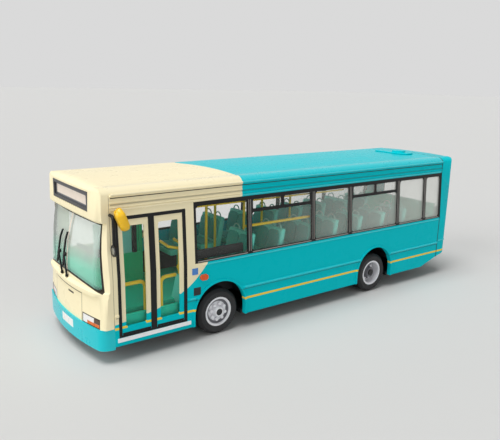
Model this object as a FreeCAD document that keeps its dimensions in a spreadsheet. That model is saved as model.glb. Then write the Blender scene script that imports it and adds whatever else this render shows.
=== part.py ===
import FreeCAD, Part
import math
import os

import Sketcher

# Scale model of a short single-deck city bus: a die-cast body shell with moulded
# front and rear ends, clear windows with black frames, a two-leaf door, a moulded
# saloon with seats and rails, and a black base that carries two turning axles.
# Millimetres. X points forward, Y to the door side, Z up. The origin is on the
# ground under the middle of the model.

os.makedirs("parts", exist_ok=True)
doc = FreeCAD.newDocument("city_bus")


# Driving dimensions, one named cell each.

dimensions = {
    # Whole model
    "model_length": 118.0,
    "body_width": 31.6,
    "front_overhang": 31.0,
    "rear_overhang": 34.2,
    "tyre_radius": 5.5,
    "wall": 1.0,
    "cut_overrun": 2.0,
    "seat_gap": 0.05,
    # Cross-section of the body, heights from the ground
    "skirt_z": 3.75,
    "rib_z": 10.5,
    "rib_height": 0.8,
    "rib_depth": 0.25,
    "sill_z": 18.57,
    "header_z": 32.4,
    "side_lean": 0.84,
    "cove_rib_low_z": 33.2,
    "cove_rib_high_z": 34.15,
    "cove_rib_height": 0.4,
    "cove_rib_depth": 0.15,
    "gutter_z": 35.2,
    "gutter_height": 0.3,
    "gutter_depth": 0.25,
    "gutter_step": 0.1,
    "roof_edge_z": 36.95,
    "roof_edge_inset": 2.4,
    "roof_edge_bulge": 0.45,
    "crown_rise": 0.45,
    # Places along the body
    "front_panel_setback": 4.8,
    "rear_panel_setback": 5.5,
    "window_band_rear_inset": 0.1,
    "mullion_one_share": 0.1727,
    "mullion_two_share": 0.402,
    "mullion_three_share": 0.5538,
    "mullion_four_share": 0.7752,
    "mullion_five_share": 0.9128,
    # Wheel arches
    "arch_radius": 7.0,
    "arch_centre_z": 6.3,
    "arch_lip_width": 0.5,
    "arch_lip_depth": 0.25,
    # Skirt behind the rear axle, which sweeps up to the rear end
    "sweep_start_setback": 12.7,
    "sweep_panel_z": 6.0,
    "sweep_end_z": 7.2,
    # Side windows
    "frame_recess": 0.08,
    "frame_thickness": 0.5,
    "frame_border": 0.65,
    "frame_header": 1.0,
    "frame_sill": 0.55,
    "pane_recess": 0.2,
    "pane_corner": 0.5,
    "hopper_drop": 3.0,
    "hopper_bar": 0.7,
    # Driver's window on the off side
    "cab_window_front_setback": 7.0,
    "cab_window_wall_gap": 0.4,
    "cab_window_sill_z": 17.6,
    # Door
    "door_front_setback": 5.7,
    "door_arch_gap": 1.4,
    "band_door_gap": 2.0,
    "door_low_z": 5.9,
    "door_high_z": 31.25,
    "door_frame_width": 0.75,
    "door_frame_depth": 0.75,
    "door_post_width": 1.3,
    "leaf_recess": 0.2,
    "leaf_thickness": 0.5,
    "leaf_margin": 0.95,
    "leaf_low_rail": 1.75,
    "leaf_high_rail": 1.35,
    "door_glass": 0.4,
    "step_edge_low_z": 4.7,
    "step_edge_high_z": 5.5,
    "step_edge_proud": 0.3,
    "step_tread_depth": 4.0,
    # Front moulding, level by level from the bumper to the roof
    "bumper_low_z": 3.2,
    "bumper_high_z": 7.85,
    "bumper_thickness": 1.3,
    "face_side_inset": 1.9,
    "corner_fullness_share": 1.0,
    "nose_corner_inset": 2.5,
    "nose_fullness_share": 0.8,
    "screen_corner_inset": 3.1,
    "ledge_fullness_share": 0.45,
    "screen_fullness_share": 0.25,
    "corner_start": 0.25,
    "face_side_overrun": 0.5,
    "nose_low_setback": 0.35,
    "nose_low_bulge": 1.6,
    "nose_z": 14.5,
    "nose_setback": 0.6,
    "nose_bulge": 1.55,
    "ledge_low_z": 14.8,
    "ledge_high_z": 15.5,
    "ledge_setback": 0.1,
    "ledge_bulge": 1.3,
    "screen_low_z": 15.9,
    "screen_low_setback": 0.8,
    "screen_low_bulge": 1.2,
    "screen_lower_z": 20.3,
    "screen_lower_setback": 1.04,
    "screen_lower_bulge": 1.15,
    "screen_mid_z": 24.0,
    "screen_mid_setback": 1.5,
    "screen_mid_bulge": 1.0,
    "screen_upper_z": 27.2,
    "screen_upper_setback": 2.2,
    "screen_upper_bulge": 0.85,
    "screen_high_z": 30.2,
    "screen_high_setback": 3.1,
    "screen_high_bulge": 0.6,
    "dome_side_inset": 2.9,
    "dome_fullness_share": 0.65,
    "dome_bulge": 0.3,
    "dome_lip_z": 30.6,
    "dome_lip_setback": 2.3,
    "dome_setback": 1.95,
    "dome_shoulder_z": 36.3,
    "dome_shoulder_setback": 2.2,
    "dome_high_z": 37.1,
    "dome_high_setback": 2.8,
    "dome_top_z": 37.7,
    "dome_top_setback": 4.2,
    # Windscreen
    "screen_thickness": 0.5,
    "screen_side_inset_low": 1.25,
    "screen_side_inset_high": 2.3,
    "screen_edge_low_z": 16.05,
    "screen_edge_rise": 1.15,
    "screen_edge_high_z": 29.7,
    "screen_corner_low": 1.1,
    "screen_corner_high": 0.6,
    "divider_width": 0.7,
    # Destination display let into the dome over the windscreen
    "blind_half_width": 10.2,
    "blind_low_z": 31.8,
    "blind_high_z": 35.9,
    "blind_border": 0.7,
    "blind_depth": 1.6,
    "blind_glass_recess": 0.4,
    # Rear moulding
    "rear_corner_radius": 3.2,
    "rear_top_radius": 2.0,
    "rear_window_side_inset": 4.5,
    "rear_window_low_z": 20.4,
    "rear_window_high_z": 31.6,
    "rear_window_corner": 1.0,
    "rear_glass": 0.6,
    "engine_flap_side_inset": 5.2,
    "engine_flap_low_z": 8.4,
    "engine_flap_high_z": 18.2,
    "engine_flap_thickness": 0.5,
    "engine_flap_recess": 0.35,
    "rear_lamp_side_inset": 2.9,
    "rear_lamp_width": 1.7,
    "rear_lamp_low_z": 8.6,
    "rear_lamp_high_z": 14.6,
    "rear_lamp_depth": 0.7,
    # Lamps at the front and on the side
    "headlamp_side_inset": 7.6,
    "headlamp_width": 4.2,
    "indicator_width": 1.9,
    "headlamp_low_z": 8.0,
    "headlamp_high_z": 9.8,
    "side_lamp_door_gap": 4.2,
    "side_lamp_z": 15.2,
    "side_lamp_length": 2.0,
    "side_lamp_height": 1.3,
    "side_lamp_corner": 0.4,
    "side_lamp_proud": 0.5,
    # Roof pod over the rear seats
    "pod_rear_inset": 7.4,
    "pod_length": 6.6,
    "pod_side_inset": 9.3,
    "pod_height": 0.3,
    "pod_corner": 2.0,
    "vent_front_inset": 2.9,
    "vent_y": 2.4,
    "vent_radius": 2.0,
    "vent_height": 0.55,
    # Black base
    "base_low_z": 3.5,
    "base_thickness": 1.0,
    "base_side_gap": 0.2,
    "base_front_inset": 0.6,
    "base_rear_inset": 0.6,
    "apron_side_inset": 3.6,
    "apron_gap": 0.25,
    "wheel_well_half_length": 6.6,
    "wheel_well_gap": 0.4,
    "bearing_half_length": 2.4,
    "bearing_side_gap": 0.3,
    "axle_radius": 0.8,
    "axle_running_gap": 0.06,
    "rail_y": 5.6,
    "rail_width": 1.2,
    "rail_drop": 0.8,
    "boss_front_setback": 16.0,
    "boss_rear_setback": 10.2,
    "boss_radius": 2.2,
    "boss_drop": 0.3,
    "plinth_hole_radius": 1.0,
    "plinth_hole_depth": 3.0,
    "sump_setback": 13.4,
    "sump_length": 7.2,
    "sump_corner": 1.0,
    "sump_half_width": 4.2,
    "sump_drop": 1.4,
    "tank_setback_share": 0.4924,
    "tank_length_share": 0.2273,
    "tank_width": 5.0,
    "tank_side_inset": 2.6,
    "tank_drop": 0.9,
    # Saloon
    "floor_z": 8.6,
    "floor_thickness": 0.9,
    "floor_side_gap": 0.1,
    "arch_box_wall": 0.6,
    "arch_box_gap": 0.1,
    "arch_box_knee_z": 10.6,
    "arch_box_top_z": 13.9,
    "arch_box_top_half": 4.2,
    "seat_pitch_share": 0.11534,
    "seat_aisle_share": 0.2722,
    "seat_wall_gap": 0.9,
    "seat_cushion_z": 14.4,
    "seat_cushion_thickness": 1.5,
    "seat_cushion_length": 6.0,
    "seat_back_high_z": 22.6,
    "seat_back_thickness": 1.3,
    "seat_back_rake": 1.4,
    "seat_pedestal_gap": 0.1,
    "seat_pedestal_length": 3.2,
    "seat_first_left_setback": 4.0,
    "seat_first_right_lead": 2.0,
    "seat_count_left": 7,
    "seat_count_right": 8,
    "bench_panel_gap": 2.9,
    "bench_side_inset": 2.2,
    # Driver's cab
    "cab_wall_door_gap": 1.3,
    "cab_wall_thickness": 0.8,
    "cab_wall_inner_y": -3.4,
    "cab_wall_high_z": 27.5,
    "cab_door_high_z": 17.5,
    "cab_door_length": 12.3,
    "dash_length": 3.4,
    "dash_z": 15.4,
    "dash_thickness": 1.0,
    "driver_wall_gap": 5.6,
    "driver_seat_width": 6.0,
    "driver_pedestal_radius": 1.5,
    "wheel_rim_radius": 2.9,
    "wheel_rim_thickness": 0.3,
    "wheel_tilt": 28.0,
    "wheel_hub_dash_gap": 1.4,
    "wheel_hub_z": 18.2,
    "column_length": 3.0,
    "column_radius": 0.5,
    # Rails and poles
    "rail_radius": 0.32,
    "door_rail_radius": 0.38,
    "pole_seat_gap": 0.08,
    "pole_first_setback": 3.5,
    "pole_second_setback": 11.2,
    "pole_third_setback": 14.9,
    "pole_fourth_setback": 26.8,
    "pole_fifth_setback": 37.1,
    "door_rail_side_inset": 2.6,
    "door_rail_z": 16.1,
    "door_rail_front_gap": 1.7,
    "door_rail_rear_gap": 1.5,
    "door_rail_post_lead": 0.85,
    "door_rail_post_lag": 3.0,
    "rail_bend": 1.2,
    "window_rail_z": 24.8,
    "window_rail_side_inset": 2.2,
    # Wheels
    "axle_end_inset": 1.5,
    "axle_press_gap": 0.02,
    "front_tyre_share": 0.2658,
    "rear_tyre_share": 0.4684,
    "tyre_side_inset": 0.7,
    "tyre_shoulder": 0.7,
    "tyre_bead_radius": 3.55,
    "tyre_wall_step": 0.25,
    "twin_gap": 1.2,
    "twin_gap_depth": 1.2,
    "wheel_rim_wall": 0.45,
    "wheel_lip": 0.25,
    "front_hub_radius": 1.35,
    "front_hub_proud": 1.1,
    "front_disc_inset": 0.9,
    "rear_hub_radius": 1.6,
    "rear_hub_proud": 1.9,
    "rear_disc_inset": 2.6,
    # Mirrors
    "mirror_setback": 6.1,
    "mirror_stand_off": 1.75,
    "mirror_z": 31.1,
    "mirror_width": 2.7,
    "mirror_height": 5.0,
    "mirror_back_depth": 1.0,
    "mirror_front_depth": 0.8,
    "mirror_front_taper": 35.0,
    "mirror_corner": 1.1,
    "mirror_tilt": 22.0,
    "mirror_arm_radius": 0.32,
    "mirror_arm_setback": 4.85,
    "mirror_arm_stand_off": 1.0,
    "mirror_arm_high_z": 31.8,
    "mirror_arm_low_z": 26.1,
    "mirror_arm_bend": 0.8,
    "mirror_arm_root_gap": 0.05,
    "near_mirror_radius": 1.2,
    "near_mirror_depth": 0.6,
    # Wipers
    "wiper_half": 0.18,
    "wiper_stand_off": 0.5,
    "wiper_knob_radius": 0.3,
    "wiper_knob_lead": 0.4,
    "wiper_knob_low_z": 15.9,
    "wiper_knob_high_z": 16.35,
    "wiper_knee_z": 20.3,
    "wiper_blade_low_z": 17.8,
    "wiper_blade_high_z": 25.7,
    "wiper_right_foot_y": 1.9,
    "wiper_right_knee_y": 4.3,
    "wiper_right_lean": 1.6,
    "wiper_left_foot_y": 1.0,
    "wiper_left_knee_y": 0.6,
    "wiper_left_lean": 1.0,
}

sheet = doc.addObject("Spreadsheet::Sheet", "sizes")
for row, (alias, number) in enumerate(dimensions.items(), start=1):
    sheet.set(f"A{row}", alias)
    sheet.set(f"B{row}", str(number))
    sheet.setAlias(f"B{row}", alias)
doc.recompute()


class Size:
    """A length that carries its number and the sheet formula that gives it."""

    def __init__(self, number, formula):
        self.number = number
        self.formula = formula

    def joined(self, other, sign, number, swap=False):
        text = other.formula if isinstance(other, Size) else repr(other)
        left, right = (text, self.formula) if swap else (self.formula, text)
        return Size(number, f"({left} {sign} {right})")

    def __float__(self):
        return float(self.number)

    def __add__(self, other):
        return self.joined(other, "+", self.number + float(other))

    def __radd__(self, other):
        return self.joined(other, "+", float(other) + self.number, swap=True)

    def __sub__(self, other):
        return self.joined(other, "-", self.number - float(other))

    def __rsub__(self, other):
        return self.joined(other, "-", float(other) - self.number, swap=True)

    def __mul__(self, other):
        return self.joined(other, "*", self.number * float(other))

    def __rmul__(self, other):
        return self.joined(other, "*", float(other) * self.number, swap=True)

    def __truediv__(self, other):
        return self.joined(other, "/", self.number / float(other))

    def __neg__(self):
        return Size(-self.number, f"(0 - {self.formula})")


class Sizes:
    """Every named cell of the sheet as a Size."""

    def __init__(self, table):
        for alias in table:
            setattr(self, alias, Size(float(sheet.get(alias)), f"sizes.{alias}"))


s = Sizes(dimensions)

# Share of its radius by which a quarter arc stands off its chord.
quarter_share = 1 - math.sqrt(0.5)
corner_chords = 4
bend_chords = 3

# Share of its radius that is cut off each corner of a square to leave an octagon.
octagon_share = 2 - math.sqrt(2)


# Sketches and features.

def bind(thing, name, size):
    if isinstance(size, Size):
        thing.setExpression(name, size.formula)
    else:
        setattr(thing, name, size)


def new_body(label):
    body = doc.addObject("PartDesign::Body", label)
    body.Label = label
    body.AllowCompound = True
    return body


def sketch_on(body, plane, at=0):
    """A sketch on one of the body's own origin planes, moved to where it cuts the third axis."""
    sketch = body.newObject("Sketcher::SketchObject", f"{body.Name}_sketch")
    origin_plane = [face for face in body.Origin.OriginFeatures if face.Role == f"{plane}_Plane"][0]
    sketch.AttachmentSupport = (origin_plane, [""])
    sketch.MapMode = "FlatFace"
    if isinstance(at, Size):
        offset = -at if plane == "XZ" else at
        sketch.setExpression("AttachmentOffset.Base.z", offset.formula)
    return sketch


def hold_point(sketch, geometry, end, point):
    """Fix one end of a line or arc at its named place."""
    for value, kind, axis in ((point[0], "DistanceX", -2), (point[1], "DistanceY", -1)):
        if isinstance(value, Size):
            row = sketch.addConstraint(Sketcher.Constraint(kind, -1, 1, geometry, end, float(value)))
            sketch.setExpression(f"Constraints[{row}]", value.formula)
        else:
            sketch.addConstraint(Sketcher.Constraint("PointOnObject", geometry, end, axis))


def outline(sketch, points, closed=True):
    """A closed outline, or an open run. A third item bulges the next stretch to the right of its way."""
    first = sketch.GeometryCount
    ends = []
    for index, point in enumerate(points if closed else points[:-1]):
        following = points[(index + 1) % len(points)]
        start = FreeCAD.Vector(float(point[0]), float(point[1]), 0)
        stop = FreeCAD.Vector(float(following[0]), float(following[1]), 0)
        if len(point) == 2:
            sketch.addGeometry(Part.LineSegment(start, stop), False)
            ends.append((1, 2))
            continue
        bulge = point[2]
        way = stop - start
        right = FreeCAD.Vector(way.y, -way.x, 0).normalize()
        middle = (start + stop) * 0.5 + right * float(bulge)
        sketch.addGeometry(Part.Arc(start, middle, stop), False)
        ends.append((1, 2) if float(bulge) > 0 else (2, 1))
    count = len(ends)
    for index, point in enumerate(points[:count]):
        geometry = first + index
        before = first + (index - 1) % count
        if closed or index:
            sketch.addConstraint(
                Sketcher.Constraint("Coincident", before, ends[(index - 1) % count][1], geometry, ends[index][0]))
        hold_point(sketch, geometry, ends[index][0], point)
        if len(point) == 3:
            following = points[(index + 1) % len(points)]
            across = following[0] - point[0]
            along = following[1] - point[1]
            bulge = point[2] if float(point[2]) > 0 else -point[2]
            radius = (across * across + along * along) / bulge / 8 + bulge / 2
            row = sketch.addConstraint(Sketcher.Constraint("Radius", geometry, float(radius)))
            sketch.setExpression(f"Constraints[{row}]", radius.formula)
    if not closed:
        hold_point(sketch, first + count - 1, ends[-1][1], points[-1])


def circle(sketch, across, along, radius):
    centre = FreeCAD.Vector(float(across), float(along), 0)
    index = sketch.addGeometry(Part.Circle(centre, FreeCAD.Vector(0, 0, 1), float(radius)), False)
    hold_point(sketch, index, 3, (across, along))
    row = sketch.addConstraint(Sketcher.Constraint("Radius", index, float(radius)))
    sketch.setExpression(f"Constraints[{row}]", radius.formula)


def round_in_chords(start, end, chords, fullness=1):
    """Places between start and end on a quarter turn that leaves start along the first axis."""
    places = []
    for step in range(1, chords):
        share = step / chords
        turn = math.radians(90 * share)
        over = (math.sin(turn) - share) * fullness + share
        down = (1 - math.cos(turn) - share) * fullness + share
        places.append((start[0] + (end[0] - start[0]) * over, start[1] + (end[1] - start[1]) * down))
    return places


def ring_points(across, along, radius, chords):
    """A round of straight sides, four quarters of chords each."""
    ends = [(across, along - radius), (across + radius, along), (across, along + radius), (across - radius, along)]
    centre = (across, along)
    places = []
    for index, start in enumerate(ends):
        end = ends[(index + 1) % len(ends)]
        places.append(start)
        for step in range(1, chords):
            turn = math.radians(90 * step / chords)
            places.append(tuple(
                middle + (first - middle) * math.cos(turn) + (last - middle) * math.sin(turn)
                for middle, first, last in zip(centre, start, end)))
    return places


def box_points(low_u, low_v, high_u, high_v):
    return [(low_u, low_v), (high_u, low_v), (high_u, high_v), (low_u, high_v)]


def rounded_points(low_u, low_v, high_u, high_v, radius):
    bulge = radius * quarter_share
    return [
        (low_u + radius, low_v),
        (high_u - radius, low_v, bulge),
        (high_u, low_v + radius),
        (high_u, high_v - radius, bulge),
        (high_u - radius, high_v),
        (low_u + radius, high_v, bulge),
        (low_u, high_v - radius),
        (low_u, low_v + radius, bulge),
    ]


def mirrored(points):
    """The mirror of an open run of points, in the order that carries the outline on."""
    turned = []
    for index in range(len(points) - 1, -1, -1):
        place = (-points[index][0], points[index][1])
        bulge = points[index - 1][2:] if index else ()
        turned.append(place + bulge)
    return turned


def backwards(points):
    """The same run of points walked the other way."""
    turned = []
    for index in range(len(points) - 1, -1, -1):
        bulge = tuple(-value for value in points[index - 1][2:]) if index else ()
        turned.append(points[index][:2] + bulge)
    return turned


def pad(body, plane, at, outlines, length, midplane=False, circles=()):
    """Pad outlines along the plane's positive axis, or to both sides of the plane."""
    sketch = sketch_on(body, plane, at)
    for points in outlines:
        outline(sketch, points)
    for place in circles:
        circle(sketch, *place)
    feature = body.newObject("PartDesign::Pad", f"{body.Name}_pad")
    feature.Profile = sketch
    bind(feature, "Length", length)
    if midplane:
        feature.SideType = "Symmetric"
    elif plane == "XZ":
        feature.Reversed = True
    return feature


def pocket(body, plane, at, outlines, length, circles=()):
    """Cut each outline to both sides of the plane, length in all, and see that something was cut."""
    doc.recompute()
    before = body.Shape.Volume
    for points in list(outlines) + [(place,) for place in circles]:
        sketch = sketch_on(body, plane, at)
        if len(points) == 1:
            circle(sketch, *points[0])
        else:
            outline(sketch, points)
        feature = body.newObject("PartDesign::Pocket", f"{body.Name}_pocket")
        feature.Profile = sketch
        bind(feature, "Length", length)
        feature.SideType = "Symmetric"
    doc.recompute()
    if not body.Shape.Volume < before:
        raise ValueError(f"{body.Label}: a pocket cuts nothing")


def revolve(body, plane, points, axis, at=0):
    sketch = sketch_on(body, plane, at)
    outline(sketch, points)
    feature = body.newObject("PartDesign::Revolution", f"{body.Name}_revolution")
    feature.Profile = sketch
    feature.ReferenceAxis = (sketch, [axis])
    feature.Angle = 360
    return feature


def cornered_points(low_u, low_v, high_u, high_v, corner):
    """A rectangle with its corners cut off."""
    return [
        (low_u + corner, low_v),
        (high_u - corner, low_v),
        (high_u, low_v + corner),
        (high_u, high_v - corner),
        (high_u - corner, high_v),
        (low_u + corner, high_v),
        (low_u, high_v - corner),
        (low_u, low_v + corner),
    ]


def eight_points(across, along, radius):
    """An octagon round a place, for thin bars."""
    return cornered_points(across - radius, along - radius, across + radius, along + radius, radius * octagon_share)


def bar(body, plane, at, points, radius, end_plane, end_at, end_place):
    """A thin bar along an open run on one plane, drawn from its section on the plane it starts from."""
    path = sketch_on(body, plane, at)
    outline(path, points, closed=False)
    end = sketch_on(body, end_plane, end_at)
    outline(end, eight_points(end_place[0], end_place[1], radius))
    feature = body.newObject("PartDesign::AdditivePipe", f"{body.Name}_bar")
    feature.Profile = end
    feature.Spine = (path, [f"Edge{index + 1}" for index in range(path.GeometryCount)])
    feature.Transition = "Right corner"
    return feature


def loft(body, levels, ruled=False):
    """A loft through (height, outline) levels, smooth or with straight stretches between them."""
    sketches = []
    for height, points in levels:
        sketch = sketch_on(body, "XY", height)
        outline(sketch, points)
        sketches.append(sketch)
    feature = body.newObject("PartDesign::AdditiveLoft", f"{body.Name}_loft")
    feature.Profile = sketches[0]
    feature.Sections = sketches[1:]
    feature.Ruled = ruled
    return feature


def joined(kind, label, base, tool):
    """A Part boolean of two objects: Cut, Common or Fuse."""
    feature = doc.addObject(f"Part::{kind}", label)
    feature.Label = label
    if kind == "MultiFuse":
        feature.Shapes = [base, tool]
    else:
        feature.Base = base
        feature.Tool = tool
    return feature


def helper(name):
    """A body that only serves to shape another piece."""
    return new_body(f"form_{name}")


# Places that several pieces share.

half_width = s.body_width / 2
front_x = s.model_length / 2
rear_x = -s.model_length / 2
front_axle_x = front_x - s.front_overhang
rear_axle_x = rear_x + s.rear_overhang
front_panel_x = front_x - s.front_panel_setback
rear_panel_x = rear_x + s.rear_panel_setback
lip_radius = s.arch_radius + s.arch_lip_width
door_front_x = front_x - s.door_front_setback
door_rear_x = front_axle_x + lip_radius + s.door_arch_gap
band_front_x = door_rear_x - s.band_door_gap
band_rear_x = rear_panel_x + s.window_band_rear_inset
band_length = band_front_x - band_rear_x
face_y = half_width - s.face_side_inset
tyre_outer_y = half_width - s.tyre_side_inset
cab_wall_x = door_rear_x + s.cab_wall_door_gap
dash_rear_x = front_panel_x - s.dash_length
side_cut = 2 * (s.side_lean + s.wall + s.cut_overrun)
full_cut = s.body_width + 2 * s.cut_overrun
lean_rate = s.side_lean / (s.header_z - s.sill_z)


def side_y(height, recess=0):
    """Half width of the side wall at a height over the sill, less a recess."""
    return half_width - lean_rate * (height - s.sill_z) - recess


def side_slab(low, high, recess, thickness, side=1):
    """Section of a plate that follows the side wall, sunk by a recess."""
    outer_low = half_width - recess if float(low) < float(s.sill_z) else side_y(low, recess)
    chain = [(outer_low, low)]
    if float(low) < float(s.sill_z):
        chain.append((half_width - recess, s.sill_z))
    chain.append((side_y(high, recess), high))
    inner = [(place[0] - thickness, place[1]) for place in chain]
    points = chain + inner[::-1]
    if side > 0:
        return points
    return [(-place[0], place[1]) for place in points[::-1]]


# Cross-section shared by the body shell and its two ends.

def rib_points(face, low, height, depth):
    """A raised rib with sloping edges on an upright wall."""
    return [
        (face, low),
        (face + depth, low + depth),
        (face + depth, low + height - depth),
        (face, low + height),
    ]


def section_half(with_ribs, inset):
    """Right half of the outside, bottom to top, or of the inside when there is an inset."""
    top_y = half_width - s.side_lean
    run = [(half_width - inset, s.skirt_z)]
    if with_ribs:
        run += rib_points(half_width, s.rib_z - s.rib_height / 2, s.rib_height, s.rib_depth)
    run += [(half_width - inset, s.sill_z), (top_y - inset, s.header_z)]
    if with_ribs:
        for centre in (s.cove_rib_low_z, s.cove_rib_high_z):
            run += rib_points(top_y, centre - s.cove_rib_height / 2, s.cove_rib_height, s.cove_rib_depth)
        run += rib_points(top_y, s.gutter_z, s.gutter_height + s.gutter_depth, s.gutter_depth)
    edge_low_z = s.gutter_z + s.gutter_height + s.gutter_depth + s.gutter_step
    run += [
        (top_y - inset, edge_low_z - inset, s.roof_edge_bulge),
        (top_y - s.roof_edge_inset - inset / 2, s.roof_edge_z - inset, s.crown_rise),
    ]
    return run


outside = section_half(True, 0)
inside = section_half(False, s.wall)
shell_section = outside + mirrored(outside) + backwards(inside + mirrored(inside))


# Body shell: one casting of sides and roof, cut for windows, door and wheels.

body_shell = new_body("body_shell")
pad(body_shell, "YZ", rear_panel_x, [shell_section], front_panel_x - rear_panel_x)
pocket(body_shell, "XZ", 0, [box_points(band_rear_x, s.sill_z, band_front_x, s.header_z)], full_cut)
pocket(body_shell, "XZ", half_width,
       [box_points(door_rear_x, s.step_edge_high_z, door_front_x, s.door_high_z)], side_cut)
cab_window_rear_x = cab_wall_x + s.cab_window_wall_gap
cab_window_front_x = front_x - s.cab_window_front_setback
pocket(body_shell, "XZ", -half_width, [cornered_points(
    cab_window_rear_x, s.cab_window_sill_z, cab_window_front_x, s.header_z, s.pane_corner)], side_cut)


def arch_points(axle_x, radius):
    """Arch over a wheel, open downwards past the skirt."""
    return [
        (axle_x - radius, s.skirt_z - s.cut_overrun),
        (axle_x + radius, s.skirt_z - s.cut_overrun),
        (axle_x + radius, s.arch_centre_z, radius * quarter_share),
        (axle_x, s.arch_centre_z + radius, radius * quarter_share),
        (axle_x - radius, s.arch_centre_z),
    ]


arches = [arch_points(axle_x, s.arch_radius) for axle_x in (front_axle_x, rear_axle_x)]
for side_sign in (1, -1):
    for axle_x in (front_axle_x, rear_axle_x):
        lip = [
            (axle_x - lip_radius, s.skirt_z),
            (axle_x + lip_radius, s.skirt_z),
            (axle_x + lip_radius, s.arch_centre_z, lip_radius * quarter_share),
            (axle_x, s.arch_centre_z + lip_radius, lip_radius * quarter_share),
            (axle_x - lip_radius, s.arch_centre_z),
        ]
        lip_root = s.wall / 2
        lip_centre = side_sign * (half_width + (s.arch_lip_depth - lip_root) / 2)
        pad(body_shell, "XZ", lip_centre, [lip], s.arch_lip_depth + lip_root, midplane=True)
pocket(body_shell, "XZ", 0, arches, full_cut)
sweep_start_x = rear_x + s.sweep_start_setback
pocket(body_shell, "XZ", 0, [[
    (sweep_start_x, s.skirt_z),
    (rear_panel_x - s.cut_overrun, s.skirt_z - s.cut_overrun),
    (rear_panel_x, s.sweep_panel_z),
]], full_cut)


# Side windows: a black frame let into the band, and clear panes in it.

mullions = [band_front_x - band_length * share for share in (
    s.mullion_one_share, s.mullion_two_share, s.mullion_three_share, s.mullion_four_share, s.mullion_five_share)]
bay_ends = [band_front_x] + mullions + [band_rear_x]
hopper_bays = (1, 3)


def pane_openings():
    """Openings of the six bays; the second and fourth have a split hopper on top."""
    low_z = s.sill_z + s.frame_sill
    high_z = s.header_z - s.frame_header
    openings = []
    for bay, (front, rear) in enumerate(zip(bay_ends, bay_ends[1:])):
        low_x = rear + s.frame_border
        high_x = front - s.frame_border
        if bay not in hopper_bays:
            openings.append(cornered_points(low_x, low_z, high_x, high_z, s.pane_corner))
            continue
        hopper_z = high_z - s.hopper_drop + s.hopper_bar
        middle_x = (low_x + high_x) / 2
        openings.append(cornered_points(low_x, low_z, high_x, high_z - s.hopper_drop, s.pane_corner))
        openings.append(cornered_points(low_x + s.hopper_bar / 2, hopper_z, middle_x - s.hopper_bar / 2,
                                        high_z, s.pane_corner / 2))
        openings.append(cornered_points(middle_x + s.hopper_bar / 2, hopper_z, high_x - s.hopper_bar / 2,
                                        high_z, s.pane_corner / 2))
    return openings


for side_name, side in (("left", 1), ("right", -1)):
    frames = new_body(f"window_frames_{side_name}")
    slab = side_slab(s.sill_z, s.header_z, s.frame_recess, s.frame_thickness, side)
    pad(frames, "YZ", band_rear_x, [slab], band_front_x - band_rear_x)
    pocket(frames, "XZ", side * half_width, pane_openings(), side_cut)

    sheet_form = helper(f"pane_sheet_{side_name}")
    slab = side_slab(s.sill_z, s.header_z, s.pane_recess, s.wall - s.pane_recess, side)
    pad(sheet_form, "YZ", band_rear_x, [slab], band_front_x - band_rear_x)
    glazing = joined("Cut", f"glazing_{side_name}", sheet_form, frames)


# Driver's window on the off side.

cab_glass = new_body("cab_window_glass")
pad(cab_glass, "YZ", cab_window_rear_x + s.pane_corner, [side_slab(
    s.cab_window_sill_z + s.seat_gap, s.header_z - s.seat_gap, s.pane_recess, s.wall - s.pane_recess, -1)],
    cab_window_front_x - cab_window_rear_x - 2 * s.pane_corner)


# Two-leaf door: black frame with a centre strip, two glazed leaves, one glass sheet behind.

door_frame = new_body("door_frame")
frame_slab = side_slab(s.step_edge_high_z, s.door_high_z, s.frame_recess, s.door_frame_depth)
pad(door_frame, "YZ", door_rear_x, [frame_slab], door_front_x - door_rear_x)
door_middle_x = (door_rear_x + door_front_x) / 2
leaf_low_z = s.door_low_z + s.seat_gap
leaf_high_z = s.door_high_z - s.door_frame_width
rear_leaf = (door_rear_x + s.door_frame_width, door_middle_x - s.door_post_width / 2)
front_leaf = (door_middle_x + s.door_post_width / 2, door_front_x - s.door_frame_width)
pocket(door_frame, "XZ", half_width,
       [box_points(low_x, s.door_low_z, high_x, leaf_high_z) for low_x, high_x in (rear_leaf, front_leaf)],
       side_cut)

for leaf_name, (low_x, high_x) in (("rear", rear_leaf), ("front", front_leaf)):
    leaf = new_body(f"door_leaf_{leaf_name}")
    leaf_slab = side_slab(leaf_low_z, leaf_high_z - s.seat_gap, s.leaf_recess, s.leaf_thickness)
    pad(leaf, "YZ", low_x + s.seat_gap, [leaf_slab], high_x - low_x - 2 * s.seat_gap)
    pocket(leaf, "XZ", half_width, [rounded_points(
        low_x + s.leaf_margin, leaf_low_z + s.leaf_low_rail,
        high_x - s.leaf_margin, leaf_high_z - s.leaf_high_rail, s.pane_corner)], side_cut)

door_glazing = new_body("door_glazing")
glass_recess = s.frame_recess + s.door_frame_depth
pad(door_glazing, "YZ", door_rear_x,
    [side_slab(leaf_low_z, leaf_high_z, glass_recess, s.door_glass)], door_front_x - door_rear_x)

door_step = new_body("door_step")
pad(door_step, "XY", s.step_edge_low_z, [box_points(
    door_rear_x - s.door_frame_width, half_width, door_front_x + s.door_frame_width / 2,
    half_width + s.step_edge_proud)], s.step_edge_high_z - s.step_edge_low_z)
pad(door_step, "XY", s.step_edge_high_z - s.step_edge_proud, [box_points(
    door_rear_x + s.seat_gap, half_width - s.wall - s.step_tread_depth, door_front_x - s.seat_gap,
    half_width - s.wall)], s.step_edge_proud)


# Front moulding: nose, ledge, screen and dome are lofts stacked on each other, trimmed to
# the body's cross-section. The dome stands out over the windscreen.

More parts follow.
